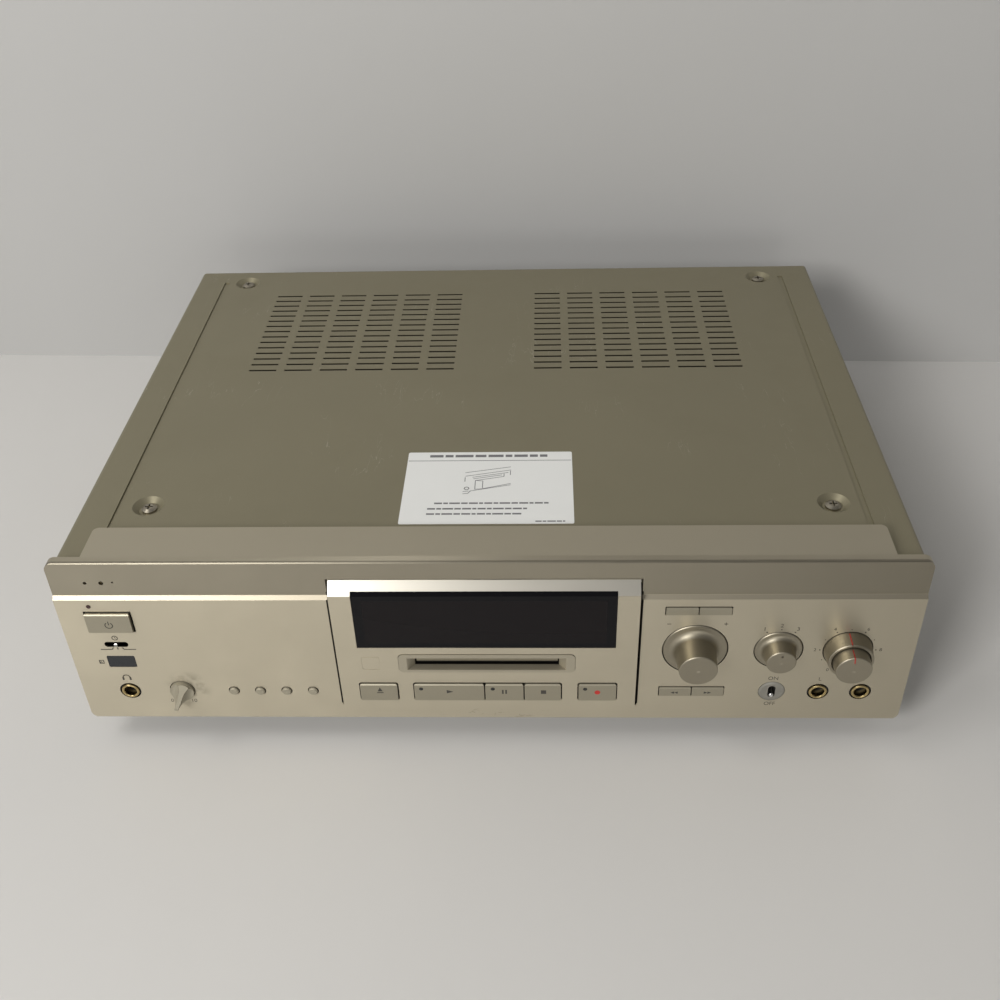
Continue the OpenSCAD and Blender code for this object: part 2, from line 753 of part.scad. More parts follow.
module front_key(x, c, size) {
    color(gold) placed() bar_key(x, c[1], size[1] - 0.9, 0.9, 5, 0, 0.5);
}

module edit_button() {
    front_key([edit_c[0] - edit_size[0] / 2 + 0.45, edit_c[0] - 0.25], edit_c, edit_size);
}
module yes_button() {
    front_key([edit_c[0] + 0.25, edit_c[0] + edit_size[0] / 2 - 0.45], edit_c, edit_size);
}
module search_back_button() {
    front_key([search_c[0] - search_size[0] / 2 + 0.45, search_c[0] - 0.25], search_c, search_size);
}
module search_forward_button() {
    front_key([search_c[0] + 0.25, search_c[0] + search_size[0] / 2 - 0.45], search_c, search_size);
}

module block_key(x) {
    color(gold) placed() bar_key(x, button_z, button_h - 2 * button_play, 1.1, 2, -block_out, 1);
}

module eject_button() { block_key([eject_x[0] + button_play, eject_x[1] - button_play]); }
module play_button() { block_key([trio_x[0] + button_play, trio_split[0] - key_split]); }
module pause_button() { block_key([trio_split[0] + key_split, trio_split[1] - key_split]); }
module stop_button() { block_key([trio_split[1] + key_split, trio_x[1] - button_play]); }
module record_button() { block_key([record_x[0] + button_play, record_x[1] - button_play]); }

// A knob with a wide flange, a concave flare and a slightly tapered barrel
module flared_knob(c, flange_r, barrel_r, out, flare) {
    tip_r = barrel_r - 0.75;
    turned(c, concat(
        [[0, -2.4], [flange_r, -2.4], [flange_r, -0.1], [flange_r - 0.4, 0.3]],
        arc([barrel_r + flare, 0.4 + flare], flare, 270, 186, 8),
        [[tip_r, out - 0.4], [tip_r - 0.4, out - 0.05], [0, out]]));
    bar_y(c, 5, 2.3, 6.8);
    bar_y(c, 3, 6.7, 16);
}

module jog_knob() {
    color(gold) placed() flared_knob(jog_c, jog_r, 10.3, jog_out, 3.6);
}

module input_knob() {
    color(gold) placed() difference() {
        flared_knob(input_c, input_r, 8.1, input_out, 2.4);
        // Index dot near the upper edge of the face
        bar_y([input_c[0], input_c[1] + 4.4], 0.6, -input_out - 1, -input_out + 0.5);
    }
}

module record_outer_knob() {
    color(gold) placed() difference() {
        turned(level_c, [[2.05, -3.4], [level_r, -3.4], [level_r, 0], [level_r - 0.9, 8.1],
            [level_r - 1.3, 8.5], [9.9, 8.5], [9.6, 8.2], [9.6, -1.4], [3, -1.4], [2.05, -1.4]]);
        // Groove for the red index line
        translate([level_c[0], 0, level_c[1]]) rotate([0, -5, 0]) translate([0, 0, level_r])
            rotate([6.3, 0, 0]) span([-0.3, 0.3], [-9.5, -0.5], [-0.5, 1]);
    }
    color(steel) placed() difference() {
        bar_y(level_c, 3, 3.3, 14);
        bar_y(level_c, 2.05, 3, 15);
    }
}

module record_inner_knob() {
    color(gold) placed() difference() {
        turned(level_c, [[0, -0.9], [9.2, -0.9], [9.2, 8], [8.9, level_out - 0.4],
            [8.5, level_out - 0.05], [0, level_out]]);
        translate([level_c[0], 0, level_c[1]]) rotate([0, -5, 0])
            span([-0.3, 0.3], [-level_out - 1, -8.8], [5, 12]);
    }
    color(steel) placed() bar_y(level_c, 2, 0.8, 17.5);
}

// ---- behind the front ----

// A small switch body facing the front
module tact_switch(x, z) {
    span([x - 3, x + 3], [switch_y + 0.2, board_y + 0.1], [z - 3, z + 3]);
    bar_y([x, z], 1.4, switch_y, switch_y + 0.4);
}

module front_boards() {
    color("#2f5a3a") placed() {
        difference() {
            union() {
                span([-204, -84], [board_y, board_y + 1.6], [10, 84]);
                span([84, 204], [board_y, board_y + 1.6], [10, 84]);
                // Board behind the transport keys
                span([-77, 77], [board_y, board_y + 1.6], [12, 30]);
                for (x = function_x) tact_switch(x, function_z);
                for (s = [-1, 1]) {
                    tact_switch(edit_c[0] + s * 8.1, edit_c[1]);
                    tact_switch(search_c[0] + s * 8.4, search_c[1]);
                }
                for (x = [eject_x[0] + eject_x[1], trio_x[0] + trio_split[0],
                    trio_split[0] + trio_split[1], trio_split[1] + trio_x[1],
                    record_x[0] + record_x[1]]) tact_switch(x / 2, button_z);
                // Power switch and timer switch bodies
                span([power_c[0] - 7, power_c[0] + 7], [16.2, board_y + 0.1],
                    [power_c[1] - 6, power_c[1] + 6]);
                span([timer_c[0] - 9, timer_c[0] + 9], [18, board_y + 0.1],
                    [timer_c[1] - 3, timer_c[1] + 3]);
            }
            for (c = concat(spacers, key_spacers)) bar_y(c, 1.3, 18, 24);
            // Cut-outs for the jacks and the toggle switch
            for (c = jack_centres) facing(18, 24) translate(c) square([15.8, 16.8], center = true);
            facing(18, 24) translate(toggle_c) square([10.8, 13.8], center = true);
            for (c = [jog_c, input_c, level_c, phones_level_c]) bar_y(c, 4, 18, 24);
        }
    }
}

// Glass display tube with its metal end caps and board
module display_tube() {
    color("#27302e") placed() {
        span([-62, 62], [9, 15.4], [60, 84]);
        for (s = [-1, 1]) span([s * 64 - 2.2, s * 64 + 2.2], [8.6, 17.2], [62, 82]);
        span([-77, 77], [display_board_y, display_board_y + 1.6], [53, 90]);
        for (x = [-58:4:58]) span([x - 0.4, x + 0.4], [11.4, 17.1], [57, 60.2]);
        span([-59, 59], [11, 12.4], [56.6, 60.1]);
    }
}

// A rotary part clamped to the frame by its bush and nut
module rotary_body(c, body_w) {
    body_y = frame_y + sheet;
    difference() {
        union() {
            bar_y(c, 4.5, panel_t + 0.3, body_y + 1);
            translate([c[0], 0, c[1]]) span([-body_w / 2, body_w / 2], [body_y, body_y + 8],
                [-body_w / 2, body_w / 2]);
            translate([c[0], frame_y - 1.4, c[1]]) rotate([-90, 0, 0])
                cylinder(r = 6.5, h = 1.4, $fn = 6);
        }
        bar_y(c, 3.05, 2, body_y + 7.4);
    }
}

module rotary_parts() {
    color("#8b8f93") placed() {
        rotary_body(jog_c, 17);
        rotary_body(input_c, 16);
        rotary_body(level_c, 17);
        rotary_body(phones_level_c, 14);
    }
}

// ---- electronics ----

module chip(x, y, w, d, h) {
    span([x - w / 2, x + w / 2], [y - d / 2, y + d / 2], [board_top - 0.1, board_top + h]);
}

module main_board() {
    color("#2f5a3a") placed() {
        difference() {
            span([72, 205], [64, 310], [board_z, board_top]);
            for (p = main_posts) translate([p[0], p[1], 8]) cylinder(r = 1.6, h = 6);
            translate([screw_x, screw_y[1], 8]) cylinder(r = 7, h = 6);
        }
        // Digital chips, converter chips and the relay can
        chip(105, 110, 24, 24, 2.6);
        chip(150, 120, 18, 18, 2.4);
        chip(105, 160, 14, 20, 2.4);
        chip(150, 170, 10, 18, 2.4);
        chip(130, 250, 28, 14, 12);
        for (x = [90:12:186]) translate([x, 285, board_top]) cylinder(r = 3.2, h = 9);
        for (y = [90:12:150]) span([185, 197], [y - 3, y + 3], [board_top - 0.1, board_top + 6.4]);
        // Plug-in connectors along the inner edge
        for (y = [90, 130, 200]) span([74, 80], [y - 10, y + 10], [board_top - 0.1, board_top + 7.4]);
    }
}

module power_board() {
    color("#7a5a34") placed() {
        difference() {
            span([-205, -98], [64, 162], [board_z, board_top]);
            for (p = power_posts) translate([p[0], p[1], 8]) cylinder(r = 1.6, h = 6);
        }
        span([-203, -190], [100, 138], [board_top - 0.1, 26]);
        for (y = [110, 128]) translate([-180, y, board_top]) cylinder(r = 3.4, h = 8);
        for (x = [-150:9:-123]) span([x - 3, x + 3], [149, 152], [board_top - 0.1, 19]);
    }
}

// Electrolytic capacitors with their rolled shoulders
module capacitor(x, y, r, h) {
    translate([x, y, board_top]) rotate_extrude() polygon([[0, 0], [r, 0], [r, 2], [r - 0.5, 2.6],
        [r, 3.2], [r, h - 0.8], [r - 0.8, h], [r - 1.8, h], [r - 2, h - 0.5], [0, h - 0.5]]);
}

module capacitors() {
    color("#20304c") placed() {
        for (i = [0:1]) capacitor(-160 + i * 27, 84, 12.5, 42);
        for (i = [0:2]) capacitor(-165 + i * 18, 112, 8, 26);
        for (i = [0:3]) capacitor(-163 + i * 13, 130, 5, 14);
    }
}

module heat_sink() {
    color("#3b3d40") placed() {
        span([-112, -108], [66, 142], [board_top, 52]);
        for (i = [0:8]) span([-108.1, -98], [67 + i * 9, 69 + i * 9], [board_top, 52]);
        // Power transistors on the back of the fin plate
        for (y = [80, 104, 128]) {
            span([-116.6, -111.9], [y - 5, y + 5], [26, 42]);
            for (k = [-1, 0, 1])
                span([-115, -114.2], [y + k * 2.5 - 0.4, y + k * 2.5 + 0.4], [board_top, 26.1]);
        }
    }
}

module mains_transformer() {
    color("#55504a") placed() translate([-150, 236, 4.2]) {
        // Laminated core with its two windows filled by the bobbin
        difference() {
            span([-36, 36], [-26, 26], [2, 62]);
            for (s = [-1, 1]) span([s * 18 - 6, s * 18 + 6], [-30, 30], [14, 50]);
        }
        color("#b5702f") difference() {
            span([-23.6, 23.6], [-36, 36], [14.4, 49.6]);
            span([-12, 12], [-26.2, 26.2], [10, 54]);
        }
        // Mounting frame with four feet
        for (s = [-1, 1]) difference() {
            span([s * 42 - 6.2, s * 42 + 6.2], [-24, 24], [0, 2]);
            for (y = [-17, 17]) translate([s * 43, y, -1]) cylinder(r = 2.1, h = 4);
        }
        span([-36.1, 36.1], [-24, 24], [0, 2.1]);
    }
}

// ---- rear sockets ----

module phono_jack(c) {
    translate([0, rear_y + sheet, 0]) mirror([0, 1, 0])
        turned(c, [[1.7, -2], [5.2, -2], [5.2, 0], [6.4, 0], [6.4, 0.8], [pin_r, 0.8],
            [pin_r, pin_len], [3.4, pin_len], [3.4, 2], [1.7, 2]]);
}

module line_jacks() {
    color("#c7a24a") placed() {
        for (x = line_x, z = line_z) phono_jack([x, z]);
    }
    color(black) placed() difference() {
        span([106, 148], [rear_y - 12, rear_y], [28, 68]);
        for (x = line_x, z = line_z) bar_y([x, z], 1.7, rear_y - 8, rear_y + 1);
    }
}

module digital_jacks() {
    color("#c7a24a") placed() phono_jack(coax_c);
    color(black) placed() {
        difference() {
            span([68, 88], [rear_y - 12, rear_y], [46.5, 68]);
            bar_y(coax_c, 1.7, rear_y - 8, rear_y + 1);
        }
        // Optical socket with its closed shutter
        difference() {
            facing(rear_y - 12, rear_y + sheet + 2) translate(optical_c) square([10, 9.5], center = true);
            facing(rear_y + 0.6, rear_y + 10) translate(optical_c) round_rect(8, 7.6, 1);
        }
    }
}

module mains_inlet() {
    color(black) placed() {
        difference() {
            union() {
                facing(rear_y - 16, rear_y + sheet + 0.1) translate(inlet_c) round_rect(21.6, 12.6, 2);
                facing(rear_y + sheet, rear_y + sheet + 1.6) translate(inlet_c) round_rect(30, 16, 3);
            }
            // Figure-of-eight well
            facing(rear_y - 12, rear_y + 6) translate(inlet_c) round_rect(17, 9, 4.4);
        }
    }
    color("#c9c9c9") placed() for (s = [-1, 1])
        bar_y([inlet_c[0] + s * 4.3, inlet_c[1]], 1.2, rear_y - 13, rear_y - 1);
}

// ---- disc drive ----

// Stamped drive frame: deck plate, side walls with slots for the pins, legs
module drive_frame() {
    color(steel) placed() difference() {
        union() {
            span([-drive_x, drive_x], drive_y, [drive_z, drive_z + sheet]);
            for (s = [-1, 1]) span([s * drive_x - 0.6, s * drive_x + 0.6], [drive_y[0], 104],
                [drive_z, 54]);
            // Tab that carries the loading gear
            span([drive_x - 0.6, drive_x + 0.6], [gear_y - 5, gear_y + 5], [gear_z - 4, drive_z + 1]);
            // Legs on the base
            for (s = [-1, 1], y = [30, 116]) translate([s * 44, y, 4.2]) cylinder(r = 4, h = drive_z - 4);
            // Hangers for the guide rods and the feed screw
            span([42.8, 45.2], [rod_y[0] - 4, screw_axis_y + 4], [rod_z - 4, drive_z + 0.2]);
            for (y = [[rod_y[0] - 4, rod_y[0] + 4], [rod_y[1] - 3.8, screw_axis_y + 4]])
                span([-17.2, -14.8], y, [rod_z - 4, drive_z + 0.2]);
        }
        // Window over the pickup and the spindle
        span([-13, 41], [rod_y[0] - 5.5, 104.5], [drive_z - 1, drive_z + 3]);
        translate([0, disc_y, drive_z - 1]) cylinder(r = 14.5, h = 4);
        for (y = rod_y) bar_x([y, rod_z], rod_r, -20, 60);
        bar_x([screw_axis_y, rod_z], 1.05, -20, 60);
        bar_x([gear_y, gear_z], 1.05, 40, 60);
        // Upright slots that guide the holder's pins
        for (s = [-1, 1], y = pin_y) span([s * drive_x - 2, s * drive_x + 2], [y - 1.5, y + 1.5],
            [slot_z - holder_drop - 1.6, slot_z + 1.6]);
        // Slots in the deck plate that save weight
        for (s = [-1, 1]) translate([s * 30, 112, drive_z]) linear_extrude(6, center = true)
            round_rect(24, 8, 3);
    }
}

module guide_rods() {
    color("#d0d2d4") placed() for (y = rod_y) bar_x([y, rod_z], rod_r - 0.01, -18.4, 46.4);
}

module drive_motors() {
    color("#a8aaac") placed() {
        // Spindle motor under the turntable, hung from the deck plate by its bracket
        difference() {
            union() {
                translate([0, disc_y, 16]) cylinder(r = 12, h = 9);
                span([-22, -9], [disc_y - 8, disc_y + 8], [16, 17.6]);
                span([-22, -20.4], [disc_y - 8, disc_y + 8], [16, drive_z]);
            }
            translate([0, disc_y, 14]) cylinder(r = 1.05, h = 14);
        }
        // Feed motor and its bracket
        bar_x([screw_axis_y + 14, rod_z - 6], 6, -18, 4);
        span([-19.6, -18], [screw_axis_y + 6, screw_axis_y + 22], [rod_z - 13, drive_z]);
        // Loading motor on the deck plate
        translate([-38, 96, drive_z + sheet]) cylinder(r = 8, h = 16);
        translate([-38, 96, drive_z + sheet + 15.9]) cylinder(r = 2, h = 4);
    }
}

module spindle_turntable() {
    color("#c8cacc") placed() translate([0, disc_y, 0]) {
        rotate_extrude() polygon([[0, 15.6], [1, 15.6], [1, 26], [9.5, 26], [9.5, 29], [8, 30],
            [8, 33.6], [5.5, 33.6], [5.5, 34.6], [2.2, 35], [1.4, 36.2], [0, 36.2]]);
    }
}

// Carriage with its lens block; the rear arm carries the recording head
module optical_pickup() {
    x = pickup_x;
    color("#33363a") placed() {
        difference() {
            union() {
                span([x - 4, x + 12], [rod_y[0] - 4, rod_y[1] + 4], [21.4, 28.6]);
                span([x - 2, x + 9], [rod_y[1] + 3.9, 102], [22.6, 27.6]);
                span([x - 2, x + 9], [96, 102], [27.5, 50.8]);
                for (s = [0, 1]) span([x - 2 + s * 8.5, x + 0.5 + s * 8.5], [95, 102], [50.7, 58.8]);
            }
            for (y = rod_y) bar_x([y, rod_z], rod_r + 0.05, -20, 60);
            bar_x([screw_axis_y, rod_z], 1.95, -20, 60);
            bar_x([arm_pivot[0], arm_pivot[1]], 1, 0, 60);
            // Cut away beside the turntable and the spindle motor
            translate([0, disc_y, 18]) cylinder(r = 13, h = 20);
            // Hollow in the upright
            span([x + 0.5, x + 6.5], [99.5, 103], [30, 48]);
        }
        // Objective lens in its suspension
        translate([x + 5.5, disc_y, 28.5]) {
            cylinder(r = 3.9, h = 2);
            translate([0, 0, 1.9]) cylinder(r = 2.1, h = 1);
        }
    }
}

// Arm over the disc with the recording head at its tip
module head_arm() {
    color("#b9bcc0") placed() {
        x0 = pickup_x + 0.8;
        difference() {
            union() {
                span([x0, x0 + 5.4], [arm_pivot[0] - 3, arm_pivot[0] + 2.6], [arm_pivot[1] - 2.4,
                    arm_pivot[1] + 2.4]);
                span([x0, x0 + 5.4], [disc_y - 6, arm_pivot[0] - 2.9], [arm_pivot[1] - 0.6,
                    arm_pivot[1] + 0.6]);
                for (x = [x0, x0 + 4.6]) span([x, x + 0.8], [disc_y + 6, arm_pivot[0] - 2.9],
                    [arm_pivot[1], arm_pivot[1] + 2]);
            }
            translate([x0 + 2.7, disc_y + 20, arm_pivot[1] - 2]) linear_extrude(5)
                round_rect(2.2, 20, 1);
        }
        bar_x([arm_pivot[0], arm_pivot[1]], 0.95, pickup_x - 2, pickup_x + 9);
        translate([x0 + 2.7, disc_y - 2, arm_pivot[1] - 2]) cylinder(r = 2.4, h = 1.5);
    }
}

// Feed screw with its turns and its drive wheel
module lead_screw() {
    turns = 16;
    color("#cfd1d3") placed() {
        bar_x([screw_axis_y, rod_z], 1, -18.6, 46.4);
        for (i = [0:turns - 1]) translate([8 + i * screw_pitch, screw_axis_y, rod_z])
            rotate([0, 90, 0]) {
                cylinder(r1 = 1, r2 = 1.6, h = screw_pitch / 2);
                translate([0, 0, screw_pitch / 2]) cylinder(r1 = 1.6, r2 = 1, h = screw_pitch / 2);
            }
        bar_x([screw_axis_y, rod_z], 2.4, -22, -18.5);
    }
}

// Sheet-metal cartridge holder, open to the front
module cartridge_holder() {
    color("#b4b6b8") placed() difference() {
        union() {
            difference() {
                span([-holder_w / 2, holder_w / 2], holder_y, [slot_z - holder_h / 2, slot_z + holder_h / 2]);
                span([-holder_w / 2 + 0.8, holder_w / 2 - 0.8], [holder_y[0] - 1, holder_y[1] - 0.8],
                    [slot_z - holder_h / 2 + 0.8, slot_z + holder_h / 2 - 0.8]);
            }
            // Guide pins in the side walls' slots
            for (s = [-1, 1], y = pin_y) bar_x([y, slot_z], 1.1, s * 44.5 - 7.2, s * 44.5 + 7.2);
        }
        // Windows for the head above and the pickup and spindle below
        span([6, 36], [disc_y - 10, 90], [slot_z, slot_z + 6]);
        span([-15, 38], [disc_y - 11, disc_y + 11], [slot_z - 6, slot_z]);
        translate([0, disc_y, slot_z - 6]) cylinder(r = 15, h = 6);
        span([-30, -10], [40, 70], [slot_z, slot_z + 6]);
    }
}

// Slider with sloping slots that lower the holder, and a rack along its foot
module loading_slider() {
    x = drive_x + 1;
    color("#e6e2d6") placed() difference() {
        union() {
            span([x, x + 1.6], [20, 100], [36, 52]);
            span([x, x + 4], [rack_y0 - 2, rack_y0 + 30], [33.4, 36.1]);
            // Rack teeth pointing down
            for (i = [0:12]) translate([x, rack_y0 + i * tooth_pitch, 33.5]) rotate([0, 90, 0])
                linear_extrude(4) polygon([[0, -0.7], [1.4, -0.35], [1.4, 0.35], [0, 0.7]]);
        }
        // The pins drop along these slots as the slider moves forward
        for (y = pin_y) translate([x - 1, y, slot_z]) rotate([90, 0, 90]) linear_extrude(4) union() {
            for (p = [[0, 0], [slider_travel, -holder_drop]]) translate(p) circle(1.6);
            polygon([[-0.56, -1.5], [slider_travel - 0.56, -holder_drop - 1.5],
                [slider_travel + 0.56, -holder_drop + 1.5], [0.56, 1.5]]);
        }
    }
}

module loading_gear() {
    color("#e6e2d6") placed() translate([drive_x + 3, gear_y, gear_z]) rotate([0, 90, 0]) {
        difference() {
            union() {
                cylinder(r = gear_r - 1.1, h = 4, center = true);
                for (i = [0:gear_teeth - 1]) rotate(i * 360 / gear_teeth) translate([0, 0, -2])
                    linear_extrude(4) polygon([[gear_r - 1.4, -0.8], [gear_r + 0.5, -0.3],
                        [gear_r + 0.5, 0.3], [gear_r - 1.4, 0.8]]);
            }
            for (a = [0:60:300]) rotate(a) translate([2.9, 0, -3]) cylinder(r = 0.9, h = 6);
        }
        translate([0, 0, -3.9]) cylinder(r = 1, h = 2);
    }
}

base_chassis();
front_frame();
rear_panel();
front_panel();
centre_panel();
display_window();
slot_bezel();
slot_flap();
top_cover();
cover_label();
case_screws();
feet();
foot_pads();
power_lamp();
sensor_window();
front_jacks();
toggle_bush();
mic_toggle();
power_button();
timer_lever();
phones_level_knob();
clock_button();
mode_button();
repeat_button();
display_button();
eject_button();
play_button();
pause_button();
stop_button();
record_button();
edit_button();
yes_button();
search_back_button();
search_forward_button();
jog_knob();
input_knob();
record_outer_knob();
record_inner_knob();
front_boards();
display_tube();
rotary_parts();
main_board();
power_board();
capacitors();
heat_sink();
mains_transformer();
line_jacks();
digital_jacks();
mains_inlet();
drive_frame();
guide_rods();
drive_motors();
spindle_turntable();
optical_pickup();
head_arm();
lead_screw();
cartridge_holder();
loading_slider();
loading_gear();
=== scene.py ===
"""Finishes for the minidisc deck: metals, printed marks, the paper label and the studio."""

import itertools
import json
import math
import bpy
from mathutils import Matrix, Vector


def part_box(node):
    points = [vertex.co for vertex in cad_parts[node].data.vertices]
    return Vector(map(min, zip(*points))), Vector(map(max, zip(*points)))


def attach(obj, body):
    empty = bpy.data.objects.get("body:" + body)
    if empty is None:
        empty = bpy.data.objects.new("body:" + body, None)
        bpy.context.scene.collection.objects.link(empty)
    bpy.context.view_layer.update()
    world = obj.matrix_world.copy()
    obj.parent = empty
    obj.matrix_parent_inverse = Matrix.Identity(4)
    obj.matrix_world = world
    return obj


bl_info = {
    "name": "Minidisc deck finishes",
    "version": (1, 0, 0),
    "blender": (4, 5, 0),
    "location": "3D View > Sidebar > Deck",
    "description": "Champagne metals, printed marks, paper label and studio for the minidisc deck",
    "category": "Material",
}

import bmesh
import bpy
from bpy.props import FloatProperty, FloatVectorProperty, PointerProperty
from mathutils import Matrix, Vector

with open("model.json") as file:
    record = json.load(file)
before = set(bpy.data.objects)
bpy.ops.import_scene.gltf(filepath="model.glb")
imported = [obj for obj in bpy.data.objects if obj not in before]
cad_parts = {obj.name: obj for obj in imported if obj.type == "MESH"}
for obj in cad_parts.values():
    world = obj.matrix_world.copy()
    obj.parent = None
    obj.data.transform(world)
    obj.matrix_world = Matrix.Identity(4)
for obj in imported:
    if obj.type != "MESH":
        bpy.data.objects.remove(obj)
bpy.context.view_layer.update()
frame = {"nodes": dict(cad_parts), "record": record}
MM = 0.001

# Places on the deck are in millimetres: x from its middle, y back from the front face, and z up
# from that face's lower edge
PANEL_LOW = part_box("front_panel")[0]
FRONT_Y = PANEL_LOW.y / MM
FOOT_H = PANEL_LOW.z / MM
COVER_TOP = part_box("top_cover")[1].z / MM - FOOT_H
BLOCK_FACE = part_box("centre_panel")[0].y / MM - FRONT_Y

# Middles of what stands on the front, as x and z
PHONES_JACK = (-189.8, 20.6)
LEFT_JACK, RIGHT_JACK = (170.7, 20.7), (192.4, 20.7)
POINTER_KNOB = (-158.5, 22.5)
INPUT_KNOB, LEVEL_KNOB = Vector((147.1, 50.6)), Vector((181.6, 50.6))
SWITCH_X = -189.6
TOGGLE_X = 146.9

DIAL_RADIUS = 13.9
BLOCK_OPENING = 77.9
VENT_HALF_WIDTH, VENT_DEPTHS = 160.0, (184.0, 304.0)
# Painted shade: near-black for the sides of narrow gaps, openings, slots and recesses, where shade
# falls
GAP_SHADE = (0.012, 0.011, 0.01)

# The floor and the backdrop, in metres, and the backdrop's turn in degrees
SHEET_HALF_WIDTH = 2.5
BACKDROP_Y = FRONT_Y * MM + 0.41155
BACKDROP_TURN = -1.9


def middle(node):
    """Middle of a CAD node in millimetres, counted from the front face's lower edge."""
    low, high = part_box(node)
    centre = (low + high) / 2 / MM
    return Vector((centre.x, centre.y - FRONT_Y, centre.z - FOOT_H))


def colour_prop(name, description, value):
    """A colour that the panel shows."""
    return FloatVectorProperty(
        name=name, description=description, default=value, size=3, subtype="COLOR",
        min=0.0, max=1.0,
    )


def length_prop(name, description, value, low, high):
    """A length in millimetres that the panel shows."""
    return FloatProperty(name=name, description=description, default=value, min=low, max=high)


def share_prop(name, description, value, high):
    """A strength that the panel shows as a slider from 0."""
    return FloatProperty(
        name=name, description=description, default=value, min=0.0, max=high, subtype="FACTOR"
    )


def angle_prop(name, description, degrees):
    """An angle that the panel shows."""
    return FloatProperty(
        name=name, description=description, default=math.radians(degrees), subtype="ANGLE",
        unit="ROTATION",
    )


def power_prop(name, description, watts):
    """Power of a lamp."""
    return FloatProperty(
        name=name, description=description, default=watts, min=0.0, unit="POWER"
    )


class DeckColours(bpy.types.PropertyGroup):
    """Base colours of the finishes."""

    front: colour_prop("Front", "Anodised metal of the panel and the block", (0.50, 0.455, 0.355))
    slope: colour_prop("Slopes", "Cut and polished slopes of the block", (0.66, 0.63, 0.555))
    ledge: colour_prop("Ledge", "Slope over the front face", (0.41, 0.368, 0.286))
    # Painted shade: the colour laid where shade falls on the sides of narrow gaps and openings
    gap: colour_prop("Gaps", "Blackened sides of narrow gaps", GAP_SHADE)
    keys: colour_prop("Keys", "Painted keys and small buttons", (0.34, 0.312, 0.24))
    knobs: colour_prop("Knobs", "Turned aluminium knobs", (0.32, 0.29, 0.225))
    cover: colour_prop("Cover", "Paint of the sheet cover", (0.25, 0.226, 0.151))
    ink: colour_prop("Ink", "Printed marks", (0.045, 0.04, 0.032))
    index: colour_prop("Index red", "Red index lines and record mark", (0.42, 0.02, 0.015))
    brass: colour_prop("Brass", "Gold plating of the sockets", (0.50, 0.39, 0.19))
    window: colour_prop("Window", "Smoked display window", (0.004, 0.004, 0.005))
    floor: colour_prop("Floor", "Pale floor of the studio", (0.655, 0.645, 0.627))
    wall: colour_prop("Wall", "Backdrop behind the deck", (0.465, 0.462, 0.453))


class DeckSizes(bpy.types.PropertyGroup):
    """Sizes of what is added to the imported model."""

    ink_rise: length_prop("Ink height", "How far print stands proud, in mm", 0.03, 0.01, 0.1)
    line: length_prop("Line width", "Width of thin printed lines, in mm", 0.55, 0.1, 1.0)
    figure: length_prop("Figure height", "Height of the dials' numbers, in mm", 2.4, 0.8, 3.0)
    grain: length_prop("Grain", "Spacing of the brushed grain, in mm", 0.45, 0.1, 2.0)
    # Painted shade: how much darker the band above the slopes is painted
    band: share_prop("Band", "How much darker the band over the slopes is", 0.42, 1.0)
    # The wear strength also sets the painted shadow and reflection round the pointer knob
    wear: share_prop("Wear", "Strength of smudges, dust and scuffs", 1.0, 2.0)


class DeckStage(bpy.types.PropertyGroup):
    """Camera and lamps."""

    eye: FloatVectorProperty(
        name="Camera place", description="Where the camera stands",
        default=(0.03031, FRONT_Y * MM - 0.41916, FOOT_H * MM + 0.46292),
        size=3, subtype="TRANSLATION", unit="LENGTH",
    )
    pitch: angle_prop("Pitch", "Angle below the horizon", 37.06)
    yaw: angle_prop("Yaw", "Turn to the left of straight on", 2.83)
    roll: angle_prop("Roll", "Lean of the camera", 1.99)
    lens: FloatProperty(
        name="Lens", description="Focal length on a 36 mm sensor, in mm", default=41.3665,
        subtype="DISTANCE_CAMERA",
    )
    key: power_prop("Key lamp", "Power of the large lamp at the left, in watts", 10.5)
    front: power_prop("Front lamp", "Power of the lamp at the front left, in watts", 27.0)
    fill: power_prop("Fill lamp", "Power of the low lamp in front, in watts", 9.0)
    sky: FloatProperty(
        name="Sky", description="Level of the even light all round", default=0.20, min=0.0
    )


class Reading:
    """A socket in a material, so that shader maths is written as Python expressions."""

    def __init__(self, paint, socket):
        self.paint = paint
        self.socket = socket

    def maths(self, operation, *values):
        """One Math node on values or readings."""
        return self.paint.node("ShaderNodeMath", {"operation": operation}, dict(enumerate(values)))

    def __add__(self, other):
        return self.maths("ADD", self, other)

    def __sub__(self, other):
        return self.maths("SUBTRACT", self, other)

    def __rsub__(self, other):
        return self.maths("SUBTRACT", other, self)

    def __mul__(self, other):
        return self.maths("MULTIPLY", self, other)

    def __truediv__(self, other):
        return self.maths("DIVIDE", self, other)

    def __or__(self, other):
        return self.maths("MAXIMUM", self, other)

    def __abs__(self):
        return self.maths("ABSOLUTE", self)

    __radd__ = __add__
    __rmul__ = __mul__


